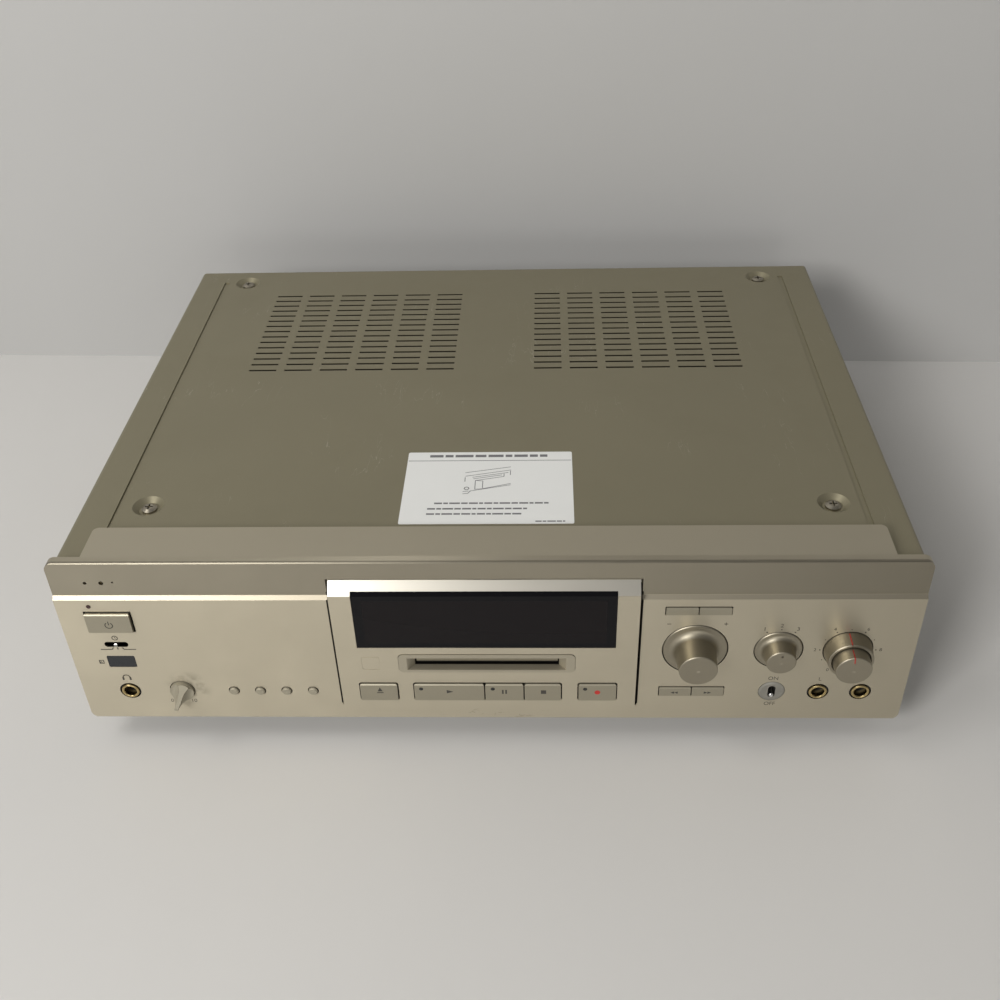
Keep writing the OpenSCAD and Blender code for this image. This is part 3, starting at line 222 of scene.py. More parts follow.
class Paint:
    """One finish: a shader and what varies it over the surface. Places are in millimetres."""

    def __init__(self, name, colour, metallic=0.0, roughness=0.5, **constants):
        self.material = bpy.data.materials.new(name)
        self.material.use_nodes = True
        self.material.diffuse_color = (*colour, 1.0)
        self.nodes = self.material.node_tree.nodes
        self.shader = self.nodes["Principled BSDF"]
        self.feed("Base Color", (*colour, 1.0))
        self.feed("Metallic", metallic)
        self.feed("Roughness", roughness)
        for name, value in constants.items():
            self.feed(name.replace("_", " ").title().replace("Ior", "IOR"), value)
        self.heights = []
        self.plain = None

    def connect(self, socket, value):
        """Gives a socket a reading, or a plain value."""
        if isinstance(value, Reading):
            self.material.node_tree.links.new(value.socket, socket)
        else:
            socket.default_value = value

    def feed(self, name, value):
        """Gives the shader's own socket a reading, or a plain value."""
        self.connect(self.shader.inputs[name], value)

    def node(self, kind, settings=None, inputs=None, output=0):
        """Adds a node: its settings first, then its sockets."""
        node = self.nodes.new(kind)
        for name, value in (settings or {}).items():
            setattr(node, name, value)
        for name, value in (inputs or {}).items():
            self.connect(node.inputs[name], value)
        return Reading(self, node.outputs[output])

    def place(self, centre=(0.0, 0.0, 0.0), stretch=(1.0, 1.0, 1.0)):
        """Place on the deck, less a centre, in millimetres that may be stretched."""
        start = Vector((centre[0], centre[1] + FRONT_Y, centre[2] + FOOT_H))
        spot = self.node("ShaderNodeTexCoord", output="Object")
        shift = self.node(
            "ShaderNodeVectorMath", {"operation": "SUBTRACT"}, {0: spot, 1: start * MM}
        )
        return self.node(
            "ShaderNodeMapping", {"vector_type": "POINT"},
            {"Vector": shift, "Scale": Vector(stretch) / MM},
        )

    def axes(self, centre=(0.0, 0.0, 0.0)):
        """The three parts of the place, as readings."""
        parts = self.node("ShaderNodeSeparateXYZ", inputs={0: self.place(centre)})
        return [Reading(self, socket) for socket in parts.socket.node.outputs]

    def reach(self, first, second):
        """Distance from where both readings are 0."""
        square = first * first + second * second
        return square.maths("SQRT", square)

    def noise(self, size, detail=2.0, stretch=(1.0, 1.0, 1.0), rough=0.5):
        """Cloudy pattern from 0 to 1 whose lumps are about this many millimetres across."""
        place = self.place(stretch=stretch)
        return self.node(
            "ShaderNodeTexNoise",
            inputs={"Vector": place, "Scale": 1.0 / size, "Detail": detail, "Roughness": rough},
        )

    def cells(self, size, feature="F1", output="Distance"):
        """Cell pattern of about this many millimetres."""
        return self.node(
            "ShaderNodeTexVoronoi", {"feature": feature},
            {"Vector": self.place(), "Scale": 1.0 / size}, output,
        )

    def step(self, value, low, high):
        """Rises smoothly from 0 to 1 as the value goes from low to high."""
        return self.node(
            "ShaderNodeMapRange", {"interpolation_type": "SMOOTHSTEP"},
            {"Value": value, "From Min": low, "From Max": high},
        )

    def inside(self, value, low, high, soft=0.1):
        """1 between low and high, and 0 outside."""
        over = self.step(value, low - soft, low + soft)
        return over * self.step(value, high + soft, high - soft)

    def tint(self, colour):
        """A colour as a socket takes it: a reading, or a plain colour with its alpha."""
        return colour if isinstance(colour, Reading) else (*colour, 1.0)

    def blend(self, share, first, second):
        """Colour that goes from the first to the second as the share rises."""
        first, second = self.tint(first), self.tint(second)
        return self.node("ShaderNodeMix", {"data_type": "RGBA"}, {0: share, 6: first, 7: second}, 2)

    def shade(self, colour, amount):
        """The colour made darker or lighter: amount 1 leaves it as it is."""
        inputs = {"Color": self.tint(colour), "Value": amount}
        return self.node("ShaderNodeHueSaturation", inputs=inputs)

    def rise(self, height, distance):
        """Adds a height pattern, in millimetres from its lowest to its highest."""
        self.heights.append(height * distance)

    def second(self, share, colour, roughness):
        """Lays the first shader over a plain metal one: share 1 shows only the first."""
        plain = self.node(
            "ShaderNodeBsdfPrincipled",
            inputs={"Metallic": 1.0, "Base Color": colour, "Roughness": roughness},
        )
        self.mix(share, plain, Reading(self, self.shader.outputs[0]))
        self.plain = plain.socket.node

    def mix(self, share, first, second):
        """Shows the first shader where the share is 0 and the second where it is 1."""
        mixed = self.node("ShaderNodeMixShader", inputs={0: share, 1: first, 2: second})
        self.connect(self.nodes["Material Output"].inputs["Surface"], mixed)

    def finish(self):
        """Joins the height patterns into the surface's normal and gives the material."""
        if self.heights:
            total = self.heights[0]
            for height in self.heights[1:]:
                total = total + height
            bump = self.node(
                "ShaderNodeBump", inputs={"Strength": 1.0, "Distance": MM, "Height": total}
            )
            self.feed("Normal", bump)
            if self.plain:
                self.connect(self.plain.inputs["Normal"], bump)
        return self.material


def dress(material, *nodes):
    """Gives CAD nodes a material."""
    for name in nodes:
        node = frame["nodes"][name]
        node.data.materials.clear()
        node.data.materials.append(material)


class Drawing:
    """Thin marks on a flat face, drawn in millimetres as seen from the front."""

    def __init__(self, name, face, rise):
        self.name = name
        self.mesh = bmesh.new()
        self.face = face
        self.rise = rise

    def lay(self, verts, x, z, turn=0.0):
        """Turns new points of a flat shape and lays them on the face."""
        move = Matrix.Translation((x, self.face - self.rise, z))
        move = move @ Matrix.Rotation(math.pi / 2, 4, "X")
        move = move @ Matrix.Rotation(math.radians(turn), 4, "Z")
        bmesh.ops.transform(self.mesh, matrix=move, verts=verts)

    def bar(self, x, z, width, height, turn=0.0):
        """A bar about its middle."""
        made = bmesh.ops.create_grid(self.mesh, x_segments=1, y_segments=1, size=0.5)["verts"]
        bmesh.ops.scale(self.mesh, vec=(width, height, 1.0), verts=made)
        self.lay(made, x, z, turn)

    def line(self, start, end, width):
        """A straight stroke between two points."""
        dx, dz = end[0] - start[0], end[1] - start[1]
        length, turn = math.hypot(dx, dz) + width * 0.6, math.degrees(math.atan2(dz, dx))
        self.bar((start[0] + end[0]) / 2, (start[1] + end[1]) / 2, length, width, turn)

    def bars(self, start, end, z, tall):
        """A row of plain bars of uneven lengths."""
        lengths = itertools.cycle((3.2, 1.9, 4.3, 2.6, 3.6, 1.6))
        while end - start > tall:
            length = min(tall * next(lengths), end - start)
            self.bar(start + length / 2, z, length, tall)
            start += length + tall * 0.5

    def strokes(self, points, width):
        """Straight strokes from point to point."""
        for start, end in zip(points, points[1:]):
            self.line(start, end, width)

    def disc(self, radius, corners):
        """The points of a filled circle with so many corners."""
        made = bmesh.ops.create_circle(self.mesh, cap_ends=True, segments=corners, radius=radius)
        return made["verts"]

    def dot(self, x, z, radius, corners=20):
        """A round dot."""
        self.lay(self.disc(radius, corners), x, z)

    def wedge(self, x, z, size, turn, flat):
        """A triangle that points to the right before it is turned."""
        made = self.disc(size, 3)
        bmesh.ops.rotate(self.mesh, matrix=Matrix.Rotation(-math.pi / 2, 3, "Z"), verts=made)
        bmesh.ops.scale(self.mesh, vec=(1.0, flat, 1.0), verts=made)
        self.lay(made, x, z, turn)

    def arc(self, x, z, radius, width, start, end, parts=16):
        """Part of a ring, from one angle to the other."""
        angles = [math.radians(start + (end - start) * i / parts) for i in range(parts + 1)]
        self.strokes([(x + radius * math.cos(a), z + radius * math.sin(a)) for a in angles], width)

    def words(self, text, x, z, height):
        """Plain figures or letters, centred."""
        curve = bpy.data.curves.new("figures", "FONT")
        curve.body = text
        # The font's capitals stand 0.7 of its size
        curve.size = height * 1.42
        curve.align_x = "CENTER"
        curve.align_y = "CENTER"
        holder = bpy.data.objects.new("figures", curve)
        flat = holder.to_mesh()
        before = set(self.mesh.verts)
        self.mesh.from_mesh(flat)
        self.lay([v for v in self.mesh.verts if v not in before], x, z)
        holder.to_mesh_clear()
        bpy.data.objects.remove(holder)
        bpy.data.curves.remove(curve)

    def piece(self, body, material, slot=None):
        """Makes the marks one piece with a little thickness, riding on a body."""
        bmesh.ops.remove_doubles(self.mesh, verts=self.mesh.verts, dist=1e-5)
        bmesh.ops.solidify(self.mesh, geom=self.mesh.faces[:], thickness=self.rise * 0.9)
        bmesh.ops.recalc_face_normals(self.mesh, faces=self.mesh.faces)
        settle(self.name, self.mesh, body, material)


def settle(name, mesh, body, material):
    """Turns a bmesh drawn in millimetres into a piece that rides on a body."""
    bmesh.ops.scale(mesh, vec=(MM, MM, MM), verts=mesh.verts)
    bmesh.ops.translate(mesh, vec=(0.0, FRONT_Y * MM, FOOT_H * MM), verts=mesh.verts)
    data = bpy.data.meshes.new(name)
    mesh.to_mesh(data)
    mesh.free()
    data.materials.append(material)
    piece = bpy.data.objects.new(name, data)
    bpy.context.scene.collection.objects.link(piece)
    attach(piece, body)


# ---- finishes ----


def smudges(paint, strength, size=38.0):
    """Faint cloudy handling marks, from 0 to the strength."""
    return paint.step(paint.noise(size, 4.0, rough=0.62), 0.42, 0.72) * strength


def brushed_front(name, colours, sizes, slopes, shine, polish, face, half_width, low):
    """Champagne metal: level hairlines on the face, slopes over it, and painted shade: a darker
    band above the slopes and near-black sides in its openings.

    slopes holds the lower and upper height of the slopes, shine their colour and polish how much
    smoother they are. Depths count from face, the openings lie above low, and past half_width the
    metal is painted near-black as shade."""
    paint = Paint(name, colours.front, 1.0, 0.44, anisotropic=0.68, anisotropic_rotation=0.25)
    x, y, z = paint.axes()
    slope = paint.inside(z, *slopes, 0.05) * paint.step(y, face + 0.07, face + 0.12)
    grain = paint.noise(sizes.grain, 3.0, stretch=(0.022, 1.0, 1.0), rough=0.7)
    blast = paint.noise(0.35, 1.0)
    cloud = paint.noise(60.0, 3.0)
    marks = smudges(paint, sizes.wear)
    # Faint scrapes near the lower edge
    low_edge = paint.inside(z, 1.0, 6.5, 1.5) * paint.inside(x, -20.0, 26.0, 9.0)
    rub = paint.noise(3.4, 4.0, stretch=(0.35, 1.0, 1.0), rough=0.7)
    rub = paint.step(rub, 0.54, 0.62) * low_edge
    tone = paint.shade(colours.front, 0.955 + grain * 0.05 + cloud * 0.04)
    tone = paint.blend(rub * sizes.wear * 0.45, tone, (0.26, 0.22, 0.16))
    # Painted shade: the band above the slopes is made darker, and the sides of openings and the
    # flanges behind them are painted near-black
    band = paint.step(z, slopes[1] + 0.1, slopes[1] + 0.3) * paint.step(y, 4.0, 3.0)
    tone = paint.shade(tone, 1.0 - band * sizes.band)
    opening = paint.step(y, face + 0.4, face + 1.0)
    opening = opening * paint.inside(z, low + 1.5, slopes[0] - 1.2, 0.3)
    inner = opening * paint.step(abs(x), half_width - 0.6, half_width - 1.0)
    opening_shade = inner | paint.step(abs(x), half_width + 0.1, half_width + 0.3)
    if face > BLOCK_FACE:
        # Painted shade: a near-black strip on the panel's own edge beside the block, and a painted
        # shadow and reflection of the pointer knob round it
        edge = paint.step(abs(x), BLOCK_OPENING + 0.25, BLOCK_OPENING)
        opening_shade = opening_shade | edge * paint.inside(z, 11.6, 88.5, 0.2)
        round_knob = paint.reach(x - POINTER_KNOB[0], z - POINTER_KNOB[1])
        # Painted shadow and reflection of the pointer knob on the panel: a dark smudge round it,
        # scaled with the wear strength
        painted_knob_shade = paint.step(round_knob, 14.0, 6.0) * paint.step(paint.noise(6.0, 3.0), 0.40, 0.62)
        tone = paint.blend(painted_knob_shade * sizes.wear * 0.42, tone, (0.16, 0.14, 0.105))
    tone = paint.blend(opening_shade, tone, colours.gap)
    paint.feed("Base Color", tone)
    paint.feed("Roughness", 0.41 + grain * 0.06 + marks * 0.05 + rub * 0.1)
    paint.rise(grain, 0.010)
    paint.rise(blast, 0.003)
    paint.rise(rub, -0.01)
    top = paint.step(y, 7.0, 7.1)
    even = (1.0 - slope) * (1.0 - top)
    paint.second(even, paint.blend(slope, tone, shine), 0.40 - slope * polish + grain * 0.05)
    return paint.finish()


def satin_metal_paint(name, colour, wear, edge=None, metallic=0.75, roughness=0.42):
    """Metallic lacquer with a fine orange-peel surface; deeper than edge, where shade falls in the
    opening round it, it is painted near-black.
    """
    paint = Paint(name, colour, metallic, roughness)
    speck = paint.noise(0.5, 2.0)
    cloud = paint.noise(34.0, 3.0)
    tone = paint.shade(colour, 0.93 + speck * 0.06 + cloud * 0.08)
    # Painted shade: the sides of a key behind its front are painted near-black
    if edge is not None:
        tone = paint.blend(paint.step(paint.axes()[1], edge, edge + 0.5), tone, GAP_SHADE)
    paint.feed("Base Color", tone)
    paint.feed("Roughness", roughness - 0.03 + speck * 0.05 + smudges(paint, wear * 0.06))
    paint.rise(speck, 0.006)
    return paint.finish()


def cover_paint(colours, sizes):
    """Khaki-champagne paint with fine texture, dust, faint scratches and painted shade in the
    vents.
    """
    paint = Paint("cover_paint", colours.cover, 0.55, 0.46)
    x, y, z = paint.axes()
    grit = paint.noise(0.55, 2.0)
    peel = paint.noise(2.2, 2.0)
    cloud = paint.noise(90.0, 4.0, rough=0.6)
    dust = paint.step(paint.noise(1.1, 2.0), 0.70, 0.76)
    dust = dust * paint.step(paint.noise(26.0, 3.0), 0.45, 0.7)
    hair = paint.noise(9.0, 3.0, stretch=(1.0, 0.16, 1.0), rough=0.55)
    scratch = paint.inside(hair, 0.498, 0.502, 0.0012)
    scratch = scratch * paint.step(paint.noise(48.0, 2.0), 0.56, 0.66)
    top = paint.step(z, COVER_TOP - 0.5, COVER_TOP - 0.2)
    tone = paint.shade(colours.cover, 0.91 + grit * 0.07 + cloud * 0.12)
    tone = paint.blend(dust * top * 0.16 * sizes.wear, tone, (0.62, 0.60, 0.55))
    tone = paint.blend(scratch * top * 0.30 * sizes.wear, tone, (0.62, 0.59, 0.50))
    # Painted shade: the walls of the vent slots below the top face are painted near-black
    vents = paint.step(abs(x), VENT_HALF_WIDTH + 1.0, VENT_HALF_WIDTH)
    vents = vents * paint.inside(y, *VENT_DEPTHS, 1.0)
    inner = paint.step(z, COVER_TOP - 0.15, COVER_TOP - 0.5) * vents
    paint.feed("Base Color", paint.blend(inner, tone, colours.gap))
    marks = smudges(paint, 0.07 * sizes.wear, 55.0)
    paint.feed("Roughness", 0.41 + grit * 0.06 + dust * 0.12 + marks)
    paint.rise(grit, 0.012)
    paint.rise(peel, 0.008)
    return paint.finish()


def turned_metal(name, colour, centre, roughness=0.47, ring=0.35):
    """Metal turned about a line along y: fine rings on its faces and sides."""
    paint = Paint(name, colour, 1.0, roughness)
    x, y, z = paint.axes((centre[0], 0.0, centre[1]))
    radius = paint.reach(x, z)
    parts = paint.node("ShaderNodeCombineXYZ", inputs={0: radius / ring, 1: y / ring, 2: 0.0})
    rings = paint.node(
        "ShaderNodeTexNoise",
        inputs={"Vector": parts, "Scale": 1.0, "Detail": 2.0, "Roughness": 0.6},
    )
    blast = paint.noise(0.3, 1.0)
    # The rings fade out towards the middle
    lines = (rings - 0.5) * paint.step(radius, 1.5, 6.0)
    paint.feed("Base Color", paint.shade(colour, 0.98 + lines * 0.08 + blast * 0.03))
    paint.feed("Roughness", roughness + lines * 0.09)
    paint.rise(lines, 0.004)
    paint.rise(blast, 0.004)
    return paint.finish()


def plain_metal(name, colour, roughness, spot=14.0):
    """Plated or cast metal with faint cloudy staining."""
    paint = Paint(name, colour, 1.0, roughness)
    cloud = paint.noise(spot, 4.0, rough=0.6)
    fine = paint.noise(0.6, 2.0)
    paint.feed("Base Color", paint.shade(colour, 0.86 + cloud * 0.2 + fine * 0.06))
    paint.feed("Roughness", roughness - 0.06 + cloud * 0.12 + fine * 0.05)
    paint.rise(fine, 0.004)
    return paint.finish()


def zinc_sheet(name, colour):
    """Zinc plating with its crystal flakes and rolled grain."""
    paint = Paint(name, colour, 1.0, 0.36)
    flake = paint.cells(7.0, output="Color")
    tint = paint.node("ShaderNodeSeparateColor", inputs={0: flake})
    grain = paint.noise(0.8, 2.0, stretch=(0.1, 1.0, 1.0))
    paint.feed("Base Color", paint.shade(colour, 0.84 + tint * 0.14 + grain * 0.08))
    paint.feed("Roughness", 0.28 + tint * 0.16 + grain * 0.05)
    paint.rise(grain, 0.005)
    return paint.finish()


def moulded(name, colour, roughness=0.5, grit=0.4, sheen=0.06):
    """Moulded plastic or rubber with a fine spark-eroded texture."""
    paint = Paint(name, colour, 0.0, roughness)
    fine = paint.noise(grit, 2.0)
    cloud = paint.noise(18.0, 3.0)
    paint.feed("Base Color", paint.shade(colour, 0.86 + fine * 0.14 + cloud * 0.14))
    paint.feed("Roughness", roughness - sheen + fine * sheen * 2 + smudges(paint, sheen))
    paint.rise(fine, 0.012)
    return paint.finish()


def ink(name, colour, roughness=0.55):
    """Printing ink or a small smooth lens."""
    return moulded(name, colour, roughness, 0.3, 0.03)


def circuit(name, board, low, high, across, chip=(0.02, 0.02, 0.022)):
    """Circuit board with tracks under its lacquer; what stands on it is dark and finely mottled.

    across is the axis that the board is thin along, and low and high are its two faces."""
    paint = Paint(name, board, 0.0, 0.34, coat_weight=0.25)
    flat = paint.inside(paint.axes()["xyz".index(across)], low, high, 0.02)
    lanes = paint.cells(2.6, "DISTANCE_TO_EDGE")
    tracks = paint.step(lanes, 0.30, 0.22)
    pads = paint.step(paint.cells(4.4), 0.17, 0.13)
    fine = paint.noise(0.5, 2.0)
    tone = paint.shade(board, 0.8 + fine * 0.3)
    tone = paint.blend(tracks * 0.55, tone, [c * 1.7 for c in board])
    tone = paint.blend(pads, tone, (0.62, 0.60, 0.54))
    body = paint.blend(paint.step(fine, 0.3, 0.7), chip, [c * 1.5 + 0.01 for c in chip])
    paint.feed("Base Color", paint.blend(flat, body, tone))
    paint.feed("Metallic", flat * pads * 0.9)
    paint.feed("Roughness", 0.34 + fine * 0.1 - pads * 0.08)
    paint.rise(tracks * flat, 0.03)
    paint.rise(fine, 0.004)
    return paint.finish()


class FinishOperator(bpy.types.Operator):
    """One step of the deck's finishing."""

    bl_options = {"REGISTER", "UNDO"}

    def execute(self, context):
        self.make(context.scene.deck_colours, context.scene.deck_sizes)
        return {"FINISHED"}


class DECK_OT_front(FinishOperator):
    """Brushed champagne metal of the front panel and the centre block"""

    bl_idname = "deck.front"
    bl_label = "Front and block"

    def make(self, colours, sizes):
        dress(
            brushed_front(
                "front_metal", colours, sizes, slopes=(84.62, 86.38), shine=colours.ledge,
                polish=0.0, face=-0.13, half_width=215.0, low=0.0,
            ),
            "front_panel",
        )
        dress(
            brushed_front(
                "block_metal", colours, sizes, slopes=(89.55, 95.42), shine=colours.slope,
                polish=0.09, face=BLOCK_FACE, half_width=76.4, low=11.4,
            ),
            "centre_panel",
        )


class DECK_OT_cover(FinishOperator):
    """Painted sheet cover and its screws"""

    bl_idname = "deck.cover"
    bl_label = "Cover and screws"

    def make(self, colours, sizes):
        dress(cover_paint(colours, sizes), "top_cover")
        dress(plain_metal("screw_metal", (0.34, 0.31, 0.25), 0.32, 3.0), "case_screws")


class DECK_OT_keys(FinishOperator):
    """Keys, small buttons and their marks"""

    bl_idname = "deck.keys"
    bl_label = "Keys"

    def make(self, colours, sizes):
        # The last figure given to each key paint is the depth behind which its sides are painted
        # near-black as shade
        dress(
            satin_metal_paint("key_paint", colours.keys, sizes.wear, BLOCK_FACE + 0.1),
            "eject_button", "play_button", "pause_button", "stop_button", "record_button",
        )
        dress(
            satin_metal_paint("small_key_paint", colours.keys, sizes.wear, 0.1),
            "power_button", "edit_button", "yes_button", "search_back_button",
            "search_forward_button",
        )
        dress(
            satin_metal_paint("round_key_paint", colours.keys, sizes.wear, 2.0, 0.5, 0.6),
            "clock_button", "mode_button", "repeat_button", "display_button",
            "phones_level_knob",
        )
        black = ink("key_ink", colours.ink)
        red = ink("red_ink", colours.index, 0.5)
        lens = ink("dark_lens", (0.02, 0.02, 0.018), 0.25)
        rise = sizes.ink_rise
        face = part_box("play_button")[0].y / MM - FRONT_Y

        keys = ("eject", "play", "pause", "stop", "record")
        marks = {key: Drawing(key + "_mark", face, rise) for key in keys}
        marks["eject"].wedge(-56.1, 25.5, 1.9, 90.0, 0.8)
        marks["eject"].bar(-56.1, 23.6, 3.3, 0.6)
        marks["play"].wedge(-20.2, 24.4, 2.3, 0.0, 0.62)
        for side in (-0.85, 0.85):
            marks["pause"].bar(8.65 + side, 24.3, 0.85, 2.9)
        marks["stop"].bar(28.9, 24.2, 2.7, 2.6)
        marks["record"].dot(56.7, 24.0, 1.45)
        for key, mark in marks.items():
            mark.piece(key + "_button", red if key == "record" else black)

        for body, x in (("play_button", -34.6), ("pause_button", 2.65), ("record_button", 50.35)):
            lamp = Drawing(body.replace("button", "lamp"), face, rise * 2)
            lamp.dot(x, 26.4, 1.1)
            lamp.piece(body, lens)

        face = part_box("search_back_button")[0].y / MM - FRONT_Y
        searches = (("search_back_button", 97.0, 180.0), ("search_forward_button", 113.6, 0.0))
        for body, x, turn in searches:
            mark = Drawing(body.replace("button", "mark"), face, rise)
            for step in (-0.95, 0.95):
                mark.wedge(x + step, 20.6, 1.25, turn, 0.75)
            mark.piece(body, black)

        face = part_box("power_button")[0].y / MM - FRONT_Y
        power = Drawing("power_mark", face, rise)
        power.arc(SWITCH_X, 69.4, 1.9, 0.45, 125.0, 415.0)
        power.line((SWITCH_X, 69.7), (SWITCH_X, 72.0), 0.45)
        power.piece("power_button", black)


class DECK_OT_knobs(FinishOperator):
    """Turned knobs and their index lines"""

    bl_idname = "deck.knobs"
    bl_label = "Knobs"

    def make(self, colours, sizes):
        for name in ("jog_knob", "input_knob", "record_outer_knob", "record_inner_knob"):
            centre = middle(name)
            dress(turned_metal(name + "_metal", colours.knobs, (centre.x, centre.z)), name)
        # Painted shade: a dark disc laid at the floor of the knob's dot hole
        dot = Drawing("input_dot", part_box("input_knob")[0].y / MM - FRONT_Y + 0.5, 0.02)
        dot.dot(INPUT_KNOB.x, 55.0, 0.57)
        dot.piece("input_knob", ink("dot_hole_shade", colours.ink))
        red = ink("index_red", colours.index, 0.45)
        centre = middle("record_outer_knob")
        turn = Matrix.Rotation(math.radians(-5.0), 4, "Y")
        place = Matrix.Translation((centre.x, 0.0, centre.z)) @ turn
        # Each strip: its place, its size and its lean in degrees, to follow the tapered sides
        strips = {
            "record_outer_knob": [((0.0, -4.2, 11.4), (0.5, 7.2, 0.3), 6.3)],
            "record_inner_knob": [
                ((0.0, -11.7, 8.4), (0.5, 5.6, 0.7), 2.2),
                ((0.0, -14.65, 6.9), (0.5, 0.5, 3.4), 0.0),
            ],
        }
        for body, parts in strips.items():
            mesh = bmesh.new()
            for spot, size, lean in parts:
                made = bmesh.ops.create_cube(mesh, size=1.0)["verts"]
                bmesh.ops.scale(mesh, vec=size, verts=made)
                tip = Matrix.Rotation(math.radians(lean), 3, "X")
                bmesh.ops.rotate(mesh, matrix=tip, verts=made)
                bmesh.ops.translate(mesh, vec=spot, verts=made)
            bmesh.ops.transform(mesh, matrix=place, verts=mesh.verts)
            settle(body.replace("knob", "index"), mesh, body, red)


class DECK_OT_window(FinishOperator):
    """Smoked display window, sensor window and lamp"""

    bl_idname = "deck.window"
    bl_label = "Windows and lamp"

    def make(self, colours, sizes):
        window = Paint("smoked_window", colours.window, 0.0, 0.09, ior=1.26)
        x, _, z = window.axes()
        dusty = window.step(window.noise(0.7, 2.0), 0.68, 0.76) * window.noise(30.0, 2.0)
        panel = window.inside(x, -60.5, 60.5, 0.3) * window.inside(z, 58.0, 86.5, 0.3)
        tone = window.blend(panel, colours.window, (0.007, 0.0056, 0.0062))
        window.feed("Base Color", window.blend(dusty * 0.05 * sizes.wear, tone, (0.5, 0.5, 0.48)))
        window.feed("Roughness", 0.07 + window.noise(45.0, 3.0) * 0.05 + dusty * 0.2)
        window.rise(window.noise(24.0, 1.0), 0.01)
        dress(window.finish(), "display_window")

        sensor = Paint("sensor_lens", (0.010, 0.012, 0.015), 0.0, 0.14)
        sensor.feed("Roughness", 0.12 + sensor.noise(3.0, 2.0) * 0.1)
        sensor.rise(sensor.noise(0.5, 1.0), 0.003)
        dress(sensor.finish(), "sensor_window")

        tone = (0.035, 0.011, 0.009)
        lamp = Paint("lamp_lens", tone, 0.0, 0.22)
        lamp.feed("Base Color", lamp.shade(tone, 0.7 + lamp.noise(0.8, 2.0) * 0.6))
        lamp.feed("Roughness", 0.18 + lamp.noise(1.2, 1.0) * 0.1)
        dress(lamp.finish(), "power_lamp")


class DECK_OT_slot(FinishOperator):
    """Disc slot bezel and its flap"""

    bl_idname = "deck.slot"
    bl_label = "Disc slot"

    def make(self, colours, sizes):
        tone = [c * 0.86 for c in colours.front]
        bezel = Paint("bezel_paint", tone, 0.75, 0.38)
        y = bezel.axes()[1]
        speck = bezel.noise(0.5, 2.0)
        # Painted shade: the funnel into the slot is made darker, and what lies behind the panel's
        # face is painted near-black
        funnel_shade = bezel.step(y, BLOCK_FACE - 0.2, BLOCK_FACE + 0.3)
        cloud = bezel.noise(34.0, 3.0)
        shade = bezel.shade(tone, 0.92 + speck * 0.08 + cloud * 0.06 - funnel_shade * 0.2)
        bezel.feed("Base Color", bezel.blend(bezel.step(y, -0.1, 0.15), shade, colours.gap))
        bezel.feed("Roughness", 0.35 + speck * 0.05 + smudges(bezel, sizes.wear * 0.06))
        bezel.rise(speck, 0.006)
        dress(bezel.finish(), "slot_bezel")

        tone = [c * 0.80 for c in colours.keys]
        flap = Paint("flap_paint", tone, 0.7, 0.36)
        speck = flap.noise(0.5, 2.0)
        # Painted shade: the flap below its lower edge is painted near-black, as the dark line under
        # it
        edge = flap.step(flap.axes()[2], 42.1, 41.8)
        flap.feed("Base Color", flap.blend(edge, flap.shade(tone, 0.92 + speck * 0.1), colours.gap))
        flap.feed("Roughness", 0.33 + speck * 0.06)
        flap.rise(speck, 0.006)
        dress(flap.finish(), "slot_flap")


